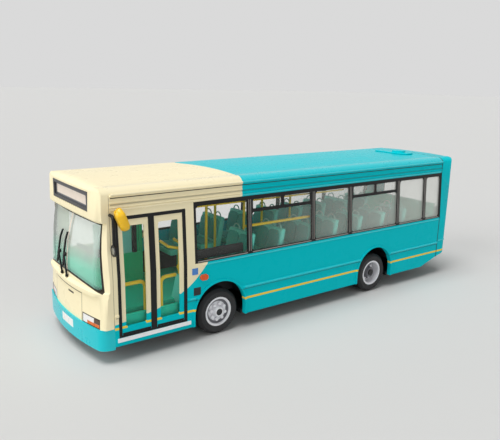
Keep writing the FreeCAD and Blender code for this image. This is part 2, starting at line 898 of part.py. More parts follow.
def nose_points(rear, side, corner_x, corner_y, bulge, fullness):
    """Plan of the front end: along the side, round the corner in chords, over the bowed front."""
    corner_rear_x = front_panel_x + s.corner_start
    corner = round_in_chords((corner_rear_x, side), (corner_x, corner_y), corner_chords, fullness)
    right = [(rear, -side), (corner_rear_x, -side)] + [(x, -y) for x, y in corner]
    left = [(corner_x, corner_y)] + corner[::-1] + [(corner_rear_x, side), (rear, side)]
    return right + [(corner_x, -corner_y, bulge)] + left


def face_outline(level, inset=0, reach=0):
    """Level outline of the front end, from behind the panel line round the nose."""
    setback, bulge, corner_y, fullness = level
    return nose_points(front_panel_x - reach, half_width + s.face_side_overrun - inset,
                       front_x - setback - bulge - inset, corner_y - inset, bulge, fullness)


nose_low = (s.nose_low_setback, s.nose_low_bulge, face_y, s.corner_fullness_share)
nose_high = (s.nose_setback, s.nose_bulge, half_width - s.nose_corner_inset, s.nose_fullness_share)
screen_y = half_width - s.screen_corner_inset
ledge = (s.ledge_setback, s.ledge_bulge, screen_y, s.ledge_fullness_share)
screen_low, screen_lower, screen_mid, screen_upper, screen_high = [
    (setback, bulge, screen_y, s.screen_fullness_share) for setback, bulge in (
        (s.screen_low_setback, s.screen_low_bulge),
        (s.screen_lower_setback, s.screen_lower_bulge),
        (s.screen_mid_setback, s.screen_mid_bulge),
        (s.screen_upper_setback, s.screen_upper_bulge),
        (s.screen_high_setback, s.screen_high_bulge))]
screen_levels = [
    (s.screen_low_z, screen_low),
    (s.screen_lower_z, screen_lower),
    (s.screen_mid_z, screen_mid),
    (s.screen_upper_z, screen_upper),
    (s.screen_high_z, screen_high),
]
dome_y = half_width - s.dome_side_inset
dome_lip, dome, dome_shoulder, dome_high, dome_top = [
    (setback, s.dome_bulge, dome_y, s.dome_fullness_share) for setback in (
        s.dome_lip_setback, s.dome_setback, s.dome_shoulder_setback, s.dome_high_setback, s.dome_top_setback)]


def section_form(name, inset, low_x, length):
    """A length of the plain body section, solid, for trimming the ends."""
    form = helper(name)
    run = section_half(False, inset)
    pad(form, "YZ", low_x, [run + mirrored(run)], length)
    return form


front_outer = helper("front_outer")
loft(front_outer, [
    (s.bumper_high_z, face_outline(nose_low)),
    (s.nose_z, face_outline(nose_high)),
    (s.ledge_low_z, face_outline(ledge)),
    (s.ledge_high_z, face_outline(ledge)),
    (s.screen_low_z, face_outline(screen_low)),
], ruled=True)
loft(front_outer, [(level_z, face_outline(level)) for level_z, level in screen_levels], ruled=True)
loft(front_outer, [
    (s.screen_high_z, face_outline(dome_lip)),
    (s.dome_lip_z, face_outline(dome)),
    (s.dome_shoulder_z, face_outline(dome_shoulder)),
    (s.dome_high_z, face_outline(dome_high)),
    (s.dome_top_z, face_outline(dome_top)),
], ruled=True)

front_inner = helper("front_inner")
screen_back_z = s.screen_high_z + s.wall
loft(front_inner, [
    (s.bumper_high_z - s.cut_overrun, face_outline(nose_low, s.wall, s.cut_overrun)),
    (s.nose_z, face_outline(nose_high, s.wall, s.cut_overrun)),
    (s.screen_low_z, face_outline(screen_low, s.wall, s.cut_overrun)),
    (s.screen_mid_z, face_outline(screen_mid, s.wall, s.cut_overrun)),
    (screen_back_z, face_outline(screen_high, s.wall, s.cut_overrun)),
], ruled=True)
loft(front_inner, [
    (screen_back_z, face_outline(dome_shoulder, s.wall, s.cut_overrun)),
    (s.dome_top_z, face_outline(dome_high, s.wall, s.cut_overrun)),
], ruled=True)
front_trim = section_form("front_trim", 0, front_panel_x, s.front_panel_setback + s.cut_overrun)
front_hollow_trim = section_form("front_hollow_trim", s.wall, front_panel_x - s.cut_overrun,
                                 s.front_panel_setback + 2 * s.cut_overrun)
front_block = joined("Common", "form_front_block", front_outer, front_trim)
front_hollow = joined("Common", "form_front_hollow", front_inner, front_hollow_trim)
front_casing = joined("Cut", "form_front_casing", front_block, front_hollow)


def screen_points(gap):
    """Windscreen opening seen from the front: arched lower edge, leaning sides, rounded corners."""
    low_y = half_width - s.screen_side_inset_low - gap
    high_y = half_width - s.screen_side_inset_high - gap
    low_z = s.screen_edge_low_z + gap
    high_z = s.screen_edge_high_z - gap
    low_corner = s.screen_corner_low
    high_corner = s.screen_corner_high
    right = [
        (low_y - low_corner, low_z, low_corner * quarter_share),
        (low_y, low_z + low_corner),
        (high_y, high_z - high_corner, high_corner * quarter_share),
        (high_y - high_corner, high_z),
    ]
    left = [
        (high_corner - high_y, high_z, high_corner * quarter_share),
        (-high_y, high_z - high_corner),
        (-low_y, low_z + low_corner, low_corner * quarter_share),
        (low_corner - low_y, low_z, -s.screen_edge_rise),
    ]
    return right + left


def lamp_boxes(low_y, high_y, gap):
    """The same lamp on both sides of the nose, seen from the front."""
    low_z = s.headlamp_low_z + gap
    high_z = s.headlamp_high_z - gap
    return [
        box_points(low_y + gap, low_z, high_y - gap, high_z),
        box_points(gap - high_y, low_z, -low_y - gap, high_z),
    ]


headlamp_inner_y = half_width - s.headlamp_side_inset
headlamp_outer_y = headlamp_inner_y + s.headlamp_width
indicator_outer_y = headlamp_outer_y + s.indicator_width
front_reach = s.front_panel_setback + s.cut_overrun
front_openings = helper("front_openings")
pad(front_openings, "YZ", front_panel_x, [
    screen_points(0),
    box_points(-s.blind_half_width, s.blind_low_z, s.blind_half_width, s.blind_high_z),
] + lamp_boxes(headlamp_inner_y, indicator_outer_y, 0), front_reach)
front_moulding = joined("Cut", "front_moulding", front_casing, front_openings)


# Windscreen in two panes, with the divider strip between them.

glass_outer = helper("glass_outer")
glass_back = helper("glass_back")
for form, inset, reach in ((glass_outer, 0, 0), (glass_back, s.screen_thickness, s.cut_overrun)):
    loft(form, [(level_z, face_outline(level, inset, reach)) for level_z, level in screen_levels], ruled=True)
glass_skin = joined("Cut", "form_glass_skin", glass_outer, glass_back)
screen_window = helper("screen_window")
pad(screen_window, "YZ", front_panel_x, [screen_points(s.seat_gap)], front_reach)
divider_strip = helper("divider_strip")
pad(divider_strip, "YZ", front_panel_x, [box_points(
    -s.divider_width / 2, s.screen_low_z, s.divider_width / 2, s.screen_high_z)], front_reach)
whole_screen = joined("Common", "form_whole_screen", glass_skin, screen_window)
windscreen = joined("Cut", "windscreen", whole_screen, divider_strip)
windscreen_divider = joined("Common", "windscreen_divider", whole_screen, divider_strip)


# Front lamps let into the nose over the bumper: clear headlamps, orange indicators outboard.

lamp_outer = helper("lamp_outer")
lamp_back = helper("lamp_back")
for form, inset, reach in ((lamp_outer, 0, 0), (lamp_back, s.screen_thickness, s.cut_overrun)):
    loft(form, [
        (s.bumper_high_z, face_outline(nose_low, inset, reach)),
        (s.nose_z, face_outline(nose_high, inset, reach)),
    ], ruled=True)
lamp_skin = joined("Cut", "form_lamp_skin", lamp_outer, lamp_back)
for label, low_y, high_y in (
        ("headlamps", headlamp_inner_y, headlamp_outer_y),
        ("front_indicators", headlamp_outer_y, indicator_outer_y)):
    lamp_window = helper(f"{label}_window")
    pad(lamp_window, "YZ", front_panel_x, lamp_boxes(low_y, high_y, s.seat_gap), front_reach)
    joined("Common", label, lamp_skin, lamp_window)


# Destination display: dark surround and its glass, let into the dome.

blind_front_x = front_x - s.dome_setback - s.dome_bulge
blind_rear_x = blind_front_x - s.blind_depth
destination_frame = new_body("destination_frame")
blind_outer = box_points(
    -s.blind_half_width + s.seat_gap, s.blind_low_z + s.seat_gap,
    s.blind_half_width - s.seat_gap, s.blind_high_z - s.seat_gap)
blind_inner = box_points(
    -s.blind_half_width + s.blind_border, s.blind_low_z + s.blind_border,
    s.blind_half_width - s.blind_border, s.blind_high_z - s.blind_border)
pad(destination_frame, "YZ", blind_rear_x, [blind_outer, blind_inner], s.blind_depth)
destination_glass = new_body("destination_glass")
pad(destination_glass, "YZ", blind_rear_x, [blind_inner], s.blind_depth - s.blind_glass_recess)


# Front bumper: a wrap-round band under the nose.

def bumper_points(inset, rear):
    return nose_points(rear, half_width - inset, front_x - s.nose_low_bulge - inset,
                       face_y - inset, s.nose_low_bulge, s.corner_fullness_share)


front_bumper = new_body("front_bumper")
bumper_height = s.bumper_high_z - s.bumper_low_z
pad(front_bumper, "XY", s.bumper_low_z, [bumper_points(0, front_panel_x)], bumper_height)
pocket(front_bumper, "XY", s.bumper_low_z, [bumper_points(s.bumper_thickness, front_panel_x - s.cut_overrun)],
       2 * bumper_height + s.cut_overrun)


# Rear moulding: section, plan and side outlines meet in one rounded end.

def rear_block(name, inset, reach):
    """A solid rear end, or its hollow when there is an inset."""
    low_x = rear_x + inset
    length = rear_panel_x - rear_x - inset + reach
    section = section_form(f"{name}_section", inset if isinstance(inset, Size) else 0, low_x, length)
    plan = helper(f"{name}_plan")
    side = half_width - inset
    radius = s.rear_corner_radius - inset
    bulge = radius * quarter_share
    high_x = rear_panel_x + reach
    pad(plan, "XY", 0, [[
        (high_x, side),
        (low_x + radius, side, bulge),
        (low_x, side - radius),
        (low_x, radius - side, bulge),
        (low_x + radius, -side),
        (high_x, -side),
    ]], s.dome_top_z)
    profile = helper(f"{name}_profile")
    top = s.roof_edge_z + s.crown_rise - inset
    top_radius = s.rear_top_radius - inset / 2
    pad(profile, "XZ", 0, [[
        (high_x, 0 if isinstance(inset, Size) else s.sweep_panel_z),
        (high_x, top),
        (low_x + top_radius, top, top_radius * quarter_share),
        (low_x, top - top_radius),
        (low_x, 0 if isinstance(inset, Size) else s.sweep_end_z),
    ]], full_cut, midplane=True)
    rounded = joined("Common", f"form_{name}_rounded", section, plan)
    return joined("Common", f"form_{name}", rounded, profile)


rear_outer = rear_block("rear_outer", 0, 0)
rear_hollow = rear_block("rear_hollow", s.wall, s.cut_overrun)
rear_casing = joined("Cut", "form_rear_casing", rear_outer, rear_hollow)
rear_openings = helper("rear_openings")
rear_window_y = half_width - s.rear_window_side_inset
rear_window_points = rounded_points(
    -rear_window_y, s.rear_window_low_z, rear_window_y, s.rear_window_high_z, s.rear_window_corner)
pad(rear_openings, "YZ", rear_x, [rear_window_points], 2 * (s.wall + s.cut_overrun), midplane=True)
rear_recess = helper("rear_recess")
flap_y = half_width - s.engine_flap_side_inset
rear_lamp_y = half_width - s.rear_lamp_side_inset
flap_points = cornered_points(-flap_y, s.engine_flap_low_z, flap_y, s.engine_flap_high_z, s.pane_corner)
lamp_points = [box_points(
    sign * rear_lamp_y - s.rear_lamp_width / 2, s.rear_lamp_low_z,
    sign * rear_lamp_y + s.rear_lamp_width / 2, s.rear_lamp_high_z) for sign in (-1, 1)]
recess_depth = s.engine_flap_recess + s.engine_flap_thickness
pad(rear_recess, "YZ", rear_x, [flap_points] + lamp_points, 2 * recess_depth, midplane=True)
rear_cut = joined("Cut", "form_rear_cut", rear_casing, rear_openings)
rear_moulding = joined("Cut", "rear_moulding", rear_cut, rear_recess)

rear_window = new_body("rear_window")
pad(rear_window, "YZ", rear_x + s.pane_recess, [rounded_points(
    -rear_window_y + s.seat_gap, s.rear_window_low_z + s.seat_gap,
    rear_window_y - s.seat_gap, s.rear_window_high_z - s.seat_gap, s.rear_window_corner)],
    s.rear_glass)

engine_flap = new_body("engine_flap")
pad(engine_flap, "YZ", rear_x + s.engine_flap_recess, [cornered_points(
    -flap_y + s.seat_gap, s.engine_flap_low_z + s.seat_gap,
    flap_y - s.seat_gap, s.engine_flap_high_z - s.seat_gap, s.pane_corner)],
    s.engine_flap_thickness)

for lamp_side, sign in (("left", 1), ("right", -1)):
    rear_lamp = new_body(f"rear_lamps_{lamp_side}")
    lamp_low_y = sign * rear_lamp_y - s.rear_lamp_width / 2 + s.seat_gap
    lamp_high_y = sign * rear_lamp_y + s.rear_lamp_width / 2 - s.seat_gap
    pad(rear_lamp, "YZ", rear_x + recess_depth - s.rear_lamp_depth, [box_points(
        lamp_low_y, s.rear_lamp_low_z + s.seat_gap, lamp_high_y, s.rear_lamp_high_z - s.seat_gap)],
        s.rear_lamp_depth)


# Orange repeater lamps on the sides, ahead of the front wheels' arches.

side_lamp_x = door_rear_x - s.side_lamp_door_gap
for side_name, sign in (("left", 1), ("right", -1)):
    side_lamp = new_body(f"side_lamp_{side_name}")
    pad(side_lamp, "XZ", sign * (half_width + s.side_lamp_proud / 2), [cornered_points(
        side_lamp_x - s.side_lamp_length / 2, s.side_lamp_z - s.side_lamp_height / 2,
        side_lamp_x + s.side_lamp_length / 2, s.side_lamp_z + s.side_lamp_height / 2, s.side_lamp_corner)],
        s.side_lamp_proud, midplane=True)


# Low pod with its air vent on the roof over the rear seats.

pod_rear_x = rear_x + s.pod_rear_inset
pod_y = half_width - s.pod_side_inset
roof_pod_block = helper("roof_pod_block")
pad(roof_pod_block, "XY", s.roof_edge_z, [cornered_points(
    pod_rear_x, -pod_y, pod_rear_x + s.pod_length, pod_y, s.pod_corner)], s.crown_rise + s.pod_height)
pad(roof_pod_block, "XY", s.roof_edge_z, [], s.crown_rise + s.pod_height + s.vent_height,
    circles=[(pod_rear_x + s.pod_length - s.vent_front_inset, s.vent_y, s.vent_radius)])
roof_form = section_form("roof", 0, pod_rear_x - s.cut_overrun, s.pod_length + 2 * s.cut_overrun)
roof_pod = joined("Cut", "roof_pod", roof_pod_block, roof_form)


# Black base: a plate between the wheels with bearing blocks, rails, sump and tank.

base = new_body("base_plate")
base_side = half_width - s.wall - s.base_side_gap
base_front_x = front_x - s.front_panel_setback - s.base_front_inset
base_rear_x = sweep_start_x + s.base_rear_inset
base_high_z = s.base_low_z + s.base_thickness
well = s.wheel_well_half_length
front_tyre_width = half_width * s.front_tyre_share
rear_tyre_width = half_width * s.rear_tyre_share
front_inner_y = tyre_outer_y - front_tyre_width
rear_inner_y = tyre_outer_y - rear_tyre_width
axles = ((rear_axle_x, rear_inner_y), (front_axle_x, front_inner_y))
base_outline = [(base_rear_x, -base_side)]
for axle_x, inner_y in axles:
    well_y = inner_y - s.wheel_well_gap
    base_outline += [
        (axle_x - well, -base_side),
        (axle_x - well, -well_y),
        (axle_x + well, -well_y),
        (axle_x + well, -base_side),
    ]
base_outline += [(base_front_x, -base_side), (base_front_x, base_side)]
for axle_x, inner_y in axles[::-1]:
    well_y = inner_y - s.wheel_well_gap
    base_outline += [
        (axle_x + well, base_side),
        (axle_x + well, well_y),
        (axle_x - well, well_y),
        (axle_x - well, base_side),
    ]
base_outline += [(base_rear_x, base_side)]
pad(base, "XY", s.base_low_z, [base_outline], s.base_thickness)
pad(base, "XZ", 0, [[
    (base_rear_x, s.base_low_z),
    (base_rear_x, base_high_z),
    (rear_x + s.wall + s.base_rear_inset, s.sweep_end_z + s.base_thickness),
    (rear_x + s.wall + s.base_rear_inset, s.sweep_end_z),
]], 2 * (half_width - s.rear_corner_radius), midplane=True)
apron_front_x = front_x - s.nose_low_bulge - s.bumper_thickness - s.apron_gap
apron_y = half_width - s.apron_side_inset
pad(base, "XY", s.base_low_z, [box_points(
    base_front_x, -apron_y, apron_front_x, apron_y)], s.base_thickness)
for axle_x, inner_y in axles:
    bearing_y = inner_y - s.bearing_side_gap
    pad(base, "XY", s.base_low_z, [box_points(
        axle_x - s.bearing_half_length, -bearing_y,
        axle_x + s.bearing_half_length, bearing_y)], s.floor_z - s.base_low_z)
boss_places = (front_axle_x - s.boss_front_setback, rear_axle_x - s.boss_rear_setback)
for boss_x in boss_places:
    pad(base, "XY", s.base_low_z - s.boss_drop, [eight_points(boss_x, 0, s.boss_radius)],
        s.floor_z - s.base_low_z + s.boss_drop)
sump_front_x = rear_axle_x - s.sump_setback
pad(base, "XY", s.base_low_z - s.sump_drop, [cornered_points(
    sump_front_x - s.sump_length, -s.sump_half_width, sump_front_x, s.sump_half_width, s.sump_corner)],
    s.sump_drop + s.base_thickness / 2)
wheelbase = front_axle_x - rear_axle_x
tank_front_x = front_axle_x - wheelbase * s.tank_setback_share
tank_rear_x = tank_front_x - wheelbase * s.tank_length_share
tank_y = half_width - s.tank_side_inset
pad(base, "XY", s.base_low_z - s.tank_drop, [cornered_points(
    tank_rear_x, -tank_y, tank_front_x, s.tank_width - tank_y, s.sump_corner)],
    s.tank_drop + s.base_thickness / 2)
for rail_sign in (1, -1):
    pad(base, "XY", s.base_low_z - s.rail_drop, [box_points(
        rear_axle_x + well, rail_sign * s.rail_y - s.rail_width / 2,
        base_front_x - s.rail_width, rail_sign * s.rail_y + s.rail_width / 2)],
        s.rail_drop + s.base_thickness / 2)
pocket(base, "XZ", 0, [], full_cut, circles=[
    (axle_x, s.tyre_radius, s.axle_radius + s.axle_running_gap) for axle_x in (front_axle_x, rear_axle_x)])
pocket(base, "XY", s.base_low_z - s.boss_drop, [], 2 * s.plinth_hole_depth, circles=[
    (boss_x, 0, s.plinth_hole_radius) for boss_x in boss_places])


# Saloon floor, open over the wheels, with arched boxes in the openings.

floor_side = half_width - s.wall - s.floor_side_gap
floor_front_x = front_panel_x
floor_rear_x = rear_panel_x
saloon_floor = new_body("saloon_floor")
pad(saloon_floor, "XY", s.floor_z, [box_points(floor_rear_x, -floor_side, floor_front_x, floor_side)],
    s.floor_thickness)
box_half = s.arch_radius + s.arch_box_wall
floor_gap_half = box_half + s.arch_box_gap
box_inner_gap = s.wheel_well_gap + s.arch_box_wall
floor_wells = []
for axle_x, inner_y in axles:
    well_y = inner_y - box_inner_gap - s.arch_box_gap
    floor_wells.append(box_points(axle_x - floor_gap_half, well_y, axle_x + floor_gap_half, half_width))
    floor_wells.append(box_points(axle_x - floor_gap_half, -half_width, axle_x + floor_gap_half, -well_y))
pocket(saloon_floor, "XY", s.floor_z, floor_wells, 2 * s.floor_thickness + s.cut_overrun)
pocket(saloon_floor, "XY", s.floor_z, [box_points(
    door_rear_x, half_width - s.wall - s.step_tread_depth, door_front_x, half_width)],
    2 * s.floor_thickness + s.cut_overrun)


def box_outline(axle_x, inset):
    """A wheel box from the side: upright foot, sloping knee and flat top."""
    foot = box_half - inset
    top = s.arch_box_top_half - inset / 2
    low_z = s.floor_z - (s.cut_overrun if isinstance(inset, Size) else 0)
    knee_z = s.arch_box_knee_z - inset / 2
    high_z = s.arch_box_top_z - inset
    return [
        (axle_x - foot, low_z),
        (axle_x + foot, low_z),
        (axle_x + foot, knee_z),
        (axle_x + top, high_z),
        (axle_x - top, high_z),
        (axle_x - foot, knee_z),
    ]


for side_name, sign in (("left", 1), ("right", -1)):
    arch_box = new_body(f"arch_boxes_{side_name}")
    hollows = []
    for axle_x, inner_y in axles:
        box_inner_y = inner_y - box_inner_gap
        box_width = floor_side - box_inner_y
        box_middle_y = sign * (floor_side + box_inner_y) / 2
        pad(arch_box, "XZ", box_middle_y, [box_outline(axle_x, 0)], box_width, midplane=True)
        hollows.append((box_middle_y + sign * s.arch_box_wall, axle_x, box_width))
    for hollow_y, axle_x, box_width in hollows:
        pocket(arch_box, "XZ", hollow_y, [box_outline(axle_x, s.arch_box_wall)], box_width)


# Seats: moulded pairs on pedestals in two rows, and a bench across the back.

def seat_side(front_edge_x):
    """Side outline of a seat that faces forward, cushion edge at front_edge_x."""
    rear_edge_x = front_edge_x - s.seat_cushion_length
    low_z = s.seat_cushion_z
    return [
        (rear_edge_x, low_z),
        (front_edge_x, low_z),
        (front_edge_x, low_z + s.seat_cushion_thickness),
        (rear_edge_x + s.seat_back_thickness, low_z + s.seat_cushion_thickness),
        (rear_edge_x + s.seat_back_thickness - s.seat_back_rake, s.seat_back_high_z),
        (rear_edge_x - s.seat_back_rake, s.seat_back_high_z),
    ]


seat_rows = (
    ("left", 1, front_axle_x - s.seat_first_left_setback, s.seat_count_left),
    ("right", -1, front_axle_x + s.seat_first_right_lead, s.seat_count_right),
)
seat_pitch = (front_axle_x - rear_panel_x) * s.seat_pitch_share
seat_aisle_y = half_width * s.seat_aisle_share
seat_width = half_width - s.wall - s.seat_wall_gap - seat_aisle_y
seat_foot_width = rear_inner_y - box_inner_gap - s.arch_box_gap - s.seat_pedestal_gap - seat_aisle_y
floor_top_z = s.floor_z + s.floor_thickness
for side_name, sign, first_x, count in seat_rows:
    seats = new_body(f"seats_{side_name}")
    middle_y = sign * (seat_aisle_y + seat_width / 2)
    foot_y = sign * (seat_aisle_y + seat_foot_width / 2)
    foot_rear_x = first_x - s.seat_cushion_length
    seat_pad = pad(seats, "XZ", middle_y, [seat_side(first_x)], seat_width, midplane=True)
    foot_pad = pad(seats, "XZ", foot_y, [box_points(
        foot_rear_x, floor_top_z, foot_rear_x + s.seat_pedestal_length,
        s.seat_cushion_z + s.seat_cushion_thickness / 2)], seat_foot_width, midplane=True)
    row = seats.newObject("PartDesign::LinearPattern", f"{seats.Name}_row")
    row.Originals = [seat_pad, foot_pad]
    row.Direction = ([item for item in seats.Origin.OriginFeatures if item.Role == "X_Axis"][0], [""])
    row.Reversed = True
    row.Mode = "Spacing"
    bind(row, "Occurrences", count)
    bind(row, "Offset", seat_pitch)
    seats.Tip = row

bench_x = rear_panel_x + s.bench_panel_gap
rear_bench = new_body("rear_bench")
pad(rear_bench, "XZ", 0, [[
    (rear_panel_x, floor_top_z),
    (bench_x + s.seat_cushion_length / 2, floor_top_z),
    (bench_x + s.seat_cushion_length / 2, s.seat_cushion_z + s.seat_cushion_thickness),
    (bench_x, s.seat_cushion_z + s.seat_cushion_thickness),
    (bench_x - s.seat_back_rake, s.seat_back_high_z),
    (rear_panel_x, s.seat_back_high_z),
]], 2 * (half_width - s.bench_side_inset), midplane=True)


# Driver's cab: wall behind the driver with its low door, dash, seat and steering wheel.

cab_outer_y = -side_y(s.cab_wall_high_z, s.wall + s.floor_side_gap)
cab_wall = new_body("cab_wall")
pad(cab_wall, "XY", floor_top_z, [box_points(
    cab_wall_x, cab_outer_y, cab_wall_x + s.cab_wall_thickness, s.cab_wall_inner_y)],
    s.cab_wall_high_z - floor_top_z)
pad(cab_wall, "XY", floor_top_z, [box_points(
    cab_wall_x, s.cab_wall_inner_y - s.cab_wall_thickness, cab_wall_x + s.cab_door_length, s.cab_wall_inner_y)],
    s.cab_door_high_z - floor_top_z)

driver_y = (cab_outer_y + s.cab_wall_inner_y) / 2
dashboard = new_body("dashboard")
pad(dashboard, "XZ", driver_y, [[
    (dash_rear_x, s.dash_z - s.dash_thickness),
    (front_panel_x + s.wall, floor_top_z),
    (front_panel_x + s.wall, s.dash_z + s.dash_thickness / 2),
    (dash_rear_x, s.dash_z),
]], s.cab_wall_inner_y - cab_outer_y - s.dash_thickness, midplane=True)

driver_seat = new_body("driver_seat")
driver_x = cab_wall_x + s.driver_wall_gap
driver_front_x = driver_x + s.seat_cushion_length / 2
pad(driver_seat, "XZ", driver_y, [seat_side(driver_front_x)], s.driver_seat_width, midplane=True)
pad(driver_seat, "XY", floor_top_z, [eight_points(driver_x, driver_y, s.driver_pedestal_radius)],
    s.seat_cushion_z - floor_top_z + s.seat_cushion_thickness / 2)

steering_wheel = new_body("steering_wheel")
rim = s.wheel_rim_thickness
pad(steering_wheel, "XY", -rim, [
    ring_points(0, 0, s.wheel_rim_radius + rim, corner_chords),
    ring_points(0, 0, s.wheel_rim_radius - rim, corner_chords)], 2 * rim)
pad(steering_wheel, "XY", -rim / 2, [box_points(-s.wheel_rim_radius, -rim, s.wheel_rim_radius, rim)], rim)
pad(steering_wheel, "XY", -s.column_length, [eight_points(0, 0, s.column_radius)], s.column_length)
steering_wheel.setExpression("Placement.Base.x", (dash_rear_x - s.wheel_hub_dash_gap).formula)
steering_wheel.setExpression("Placement.Base.y", driver_y.formula)
steering_wheel.setExpression("Placement.Base.z", s.wheel_hub_z.formula)
steering_wheel.setExpression("Placement.Rotation.Axis.y", "0 - 1")
steering_wheel.setExpression("Placement.Rotation.Axis.z", "0")
steering_wheel.setExpression("Placement.Rotation.Angle", s.wheel_tilt.formula)


# Rails: round bars along the seats and behind the door leaves, and poles to the ceiling.

handrails = new_body("handrails")
pole_y = seat_aisle_y - s.rail_radius - s.pole_seat_gap
ceiling_z = s.roof_edge_z - s.wall + s.crown_rise / 2
for pole_setback, sign in (
        (s.pole_first_setback, 1), (s.pole_second_setback, -1),
        (s.pole_third_setback, 1), (s.pole_fourth_setback, -1), (s.pole_fifth_setback, -1)):
    pad(handrails, "XY", floor_top_z, [
        eight_points(front_axle_x - pole_setback, sign * pole_y, s.rail_radius)], ceiling_z - floor_top_z)
pad(handrails, "YZ", mullions[1], [
    eight_points(half_width - s.window_rail_side_inset, s.window_rail_z, s.rail_radius)],
    mullions[0] - mullions[1])
door_rail_y = half_width - s.door_rail_side_inset
for start_x, post_x, bend in (
        (door_rear_x + s.door_rail_rear_gap, door_middle_x - s.door_rail_post_lag, s.rail_bend),
        (door_front_x - s.door_rail_front_gap, door_middle_x + s.door_rail_post_lead, -s.rail_bend)):
    bend_start = (post_x - bend, s.door_rail_z)
    bend_end = (post_x, s.door_rail_z - s.rail_bend)
    bar(handrails, "XZ", door_rail_y, [
        (start_x, s.door_rail_z),
        bend_start,
        *round_in_chords(bend_start, bend_end, bend_chords),
        bend_end,
        (post_x, s.step_edge_high_z),
    ], s.door_rail_radius, "YZ", start_x, (door_rail_y, s.door_rail_z))


# Wheels: dished discs with hubs, black tyres, and a steel axle through each pair.

def place_on_axle(piece, axle_x, turned=False):
    piece.setExpression("Placement.Base.x", axle_x.formula)
    piece.setExpression("Placement.Base.z", s.tyre_radius.formula)
    if turned:
        piece.Placement.Rotation = FreeCAD.Rotation(FreeCAD.Vector(0, 0, 1), 180)


def tyre_section(width, twin):
    """Half section of a tyre in (Y, radius); twin tyres share one section with a gap."""
    outer = tyre_outer_y
    inner = outer - width
    tread = s.tyre_radius
    bead = s.tyre_bead_radius
    shoulder = s.tyre_shoulder
    groove_half = s.twin_gap / 2
    middle = (inner + outer) / 2
    groove = [
        (middle + groove_half, tread),
        (middle, tread - s.twin_gap_depth),
        (middle - groove_half, tread),
    ] if twin else []
    return [
        (inner, bead),
        (outer - s.tyre_wall_step, bead),
        (outer, tread - shoulder),
        (outer - shoulder, tread),
        *groove,
        (inner + shoulder, tread),
    ]


def wheel_section(width, disc_inset, hub_radius, hub_proud):
    """Half section of a wheel in (Y, radius): solid barrel, dished outer face and hub."""
    outer = tyre_outer_y
    inner = outer - width + s.tyre_wall_step
    rim_outer = s.tyre_bead_radius
    rim_inner = rim_outer - s.wheel_rim_wall
    disc_outer = outer - disc_inset
    bore = s.axle_radius + s.axle_press_gap
    return [
        (inner, bore),
        (disc_outer + hub_proud, bore),
        (disc_outer + hub_proud, hub_radius - s.wheel_lip),
        (disc_outer, hub_radius + s.wheel_lip),
        (disc_outer, rim_inner - s.wheel_lip),
        (outer - s.tyre_wall_step, rim_inner),
        (outer - s.tyre_wall_step, rim_outer),
        (inner, rim_outer),
    ]


wheelsets = (
    ("front", front_axle_x, front_tyre_width, False, s.front_disc_inset, s.front_hub_radius, s.front_hub_proud),
    ("rear", rear_axle_x, rear_tyre_width, True, s.rear_disc_inset, s.rear_hub_radius, s.rear_hub_proud),
)
for end_name, axle_x, width, twin, disc_inset, hub_radius, hub_proud in wheelsets:
    axle = new_body(f"{end_name}_axle")
    pad(axle, "XZ", 0, [], 2 * (tyre_outer_y - s.axle_end_inset), midplane=True, circles=[(0, 0, s.axle_radius)])
    place_on_axle(axle, axle_x)
    for side_name, turned in (("left", False), ("right", True)):
        wheel = new_body(f"{end_name}_wheel_{side_name}")
        revolve(wheel, "YZ", wheel_section(width, disc_inset, hub_radius, hub_proud), "H_Axis")
        place_on_axle(wheel, axle_x, turned)
        tyre = new_body(f"{end_name}_tyre_{side_name}")
        revolve(tyre, "YZ", tyre_section(width, twin), "H_Axis")
        place_on_axle(tyre, axle_x, turned)


# Mirrors: a bent arm from the front pillar, the big tilted head and a small round one below.

mirror_arm_x = front_x - s.mirror_arm_setback
for side_name, sign in (("left", 1), ("right", -1)):
    head = new_body(f"mirror_head_{side_name}")
    head_points = cornered_points(
        -s.mirror_width / 2, -s.mirror_height / 2, s.mirror_width / 2, s.mirror_height / 2, s.mirror_corner)
    pad(head, "YZ", -s.mirror_back_depth, [head_points], s.mirror_back_depth)
    cap = pad(head, "YZ", 0, [head_points], s.mirror_front_depth)
    bind(cap, "TaperAngle", -s.mirror_front_taper)
    head.setExpression("Placement.Base.x", (front_x - s.mirror_setback).formula)
    head.setExpression("Placement.Base.y", (sign * (half_width + s.mirror_stand_off)).formula)
    head.setExpression("Placement.Base.z", s.mirror_z.formula)
    head.setExpression("Placement.Rotation.Axis.y", "1")
    head.setExpression("Placement.Rotation.Axis.z", "0")
    head.setExpression("Placement.Rotation.Angle", s.mirror_tilt.formula)

    arm = new_body(f"mirror_arm_{side_name}")
    arm_y = sign * (half_width + s.mirror_arm_stand_off)
    root_high_y = sign * side_y(s.mirror_arm_high_z, -s.mirror_arm_root_gap)
    bend = sign * s.mirror_arm_bend
    bend_start = (arm_y - bend, s.mirror_arm_high_z)
    bend_end = (arm_y, s.mirror_arm_high_z - s.mirror_arm_bend)
    bar(arm, "YZ", mirror_arm_x, [
        (root_high_y, s.mirror_arm_high_z),
        bend_start,
        *round_in_chords(bend_start, bend_end, bend_chords),
        bend_end,
        (arm_y, s.mirror_arm_low_z),
    ], s.mirror_arm_radius, "XZ", root_high_y, (mirror_arm_x, s.mirror_arm_high_z))

    near = new_body(f"near_mirror_{side_name}")
    pad(near, "YZ", mirror_arm_x, [], s.near_mirror_depth, midplane=True,
        circles=[(arm_y, s.mirror_arm_low_z - s.near_mirror_radius, s.near_mirror_radius)])


# Wipers: a knob on the ledge, an arm up to the knuckle and a blade along the glass on each pane.

def strip(body, low, high, half):
    """A square strip between two places, its ends level."""
    return loft(body, [
        (height, box_points(across - half, along - half, across + half, along + half))
        for across, along, height in (low, high)], ruled=True)


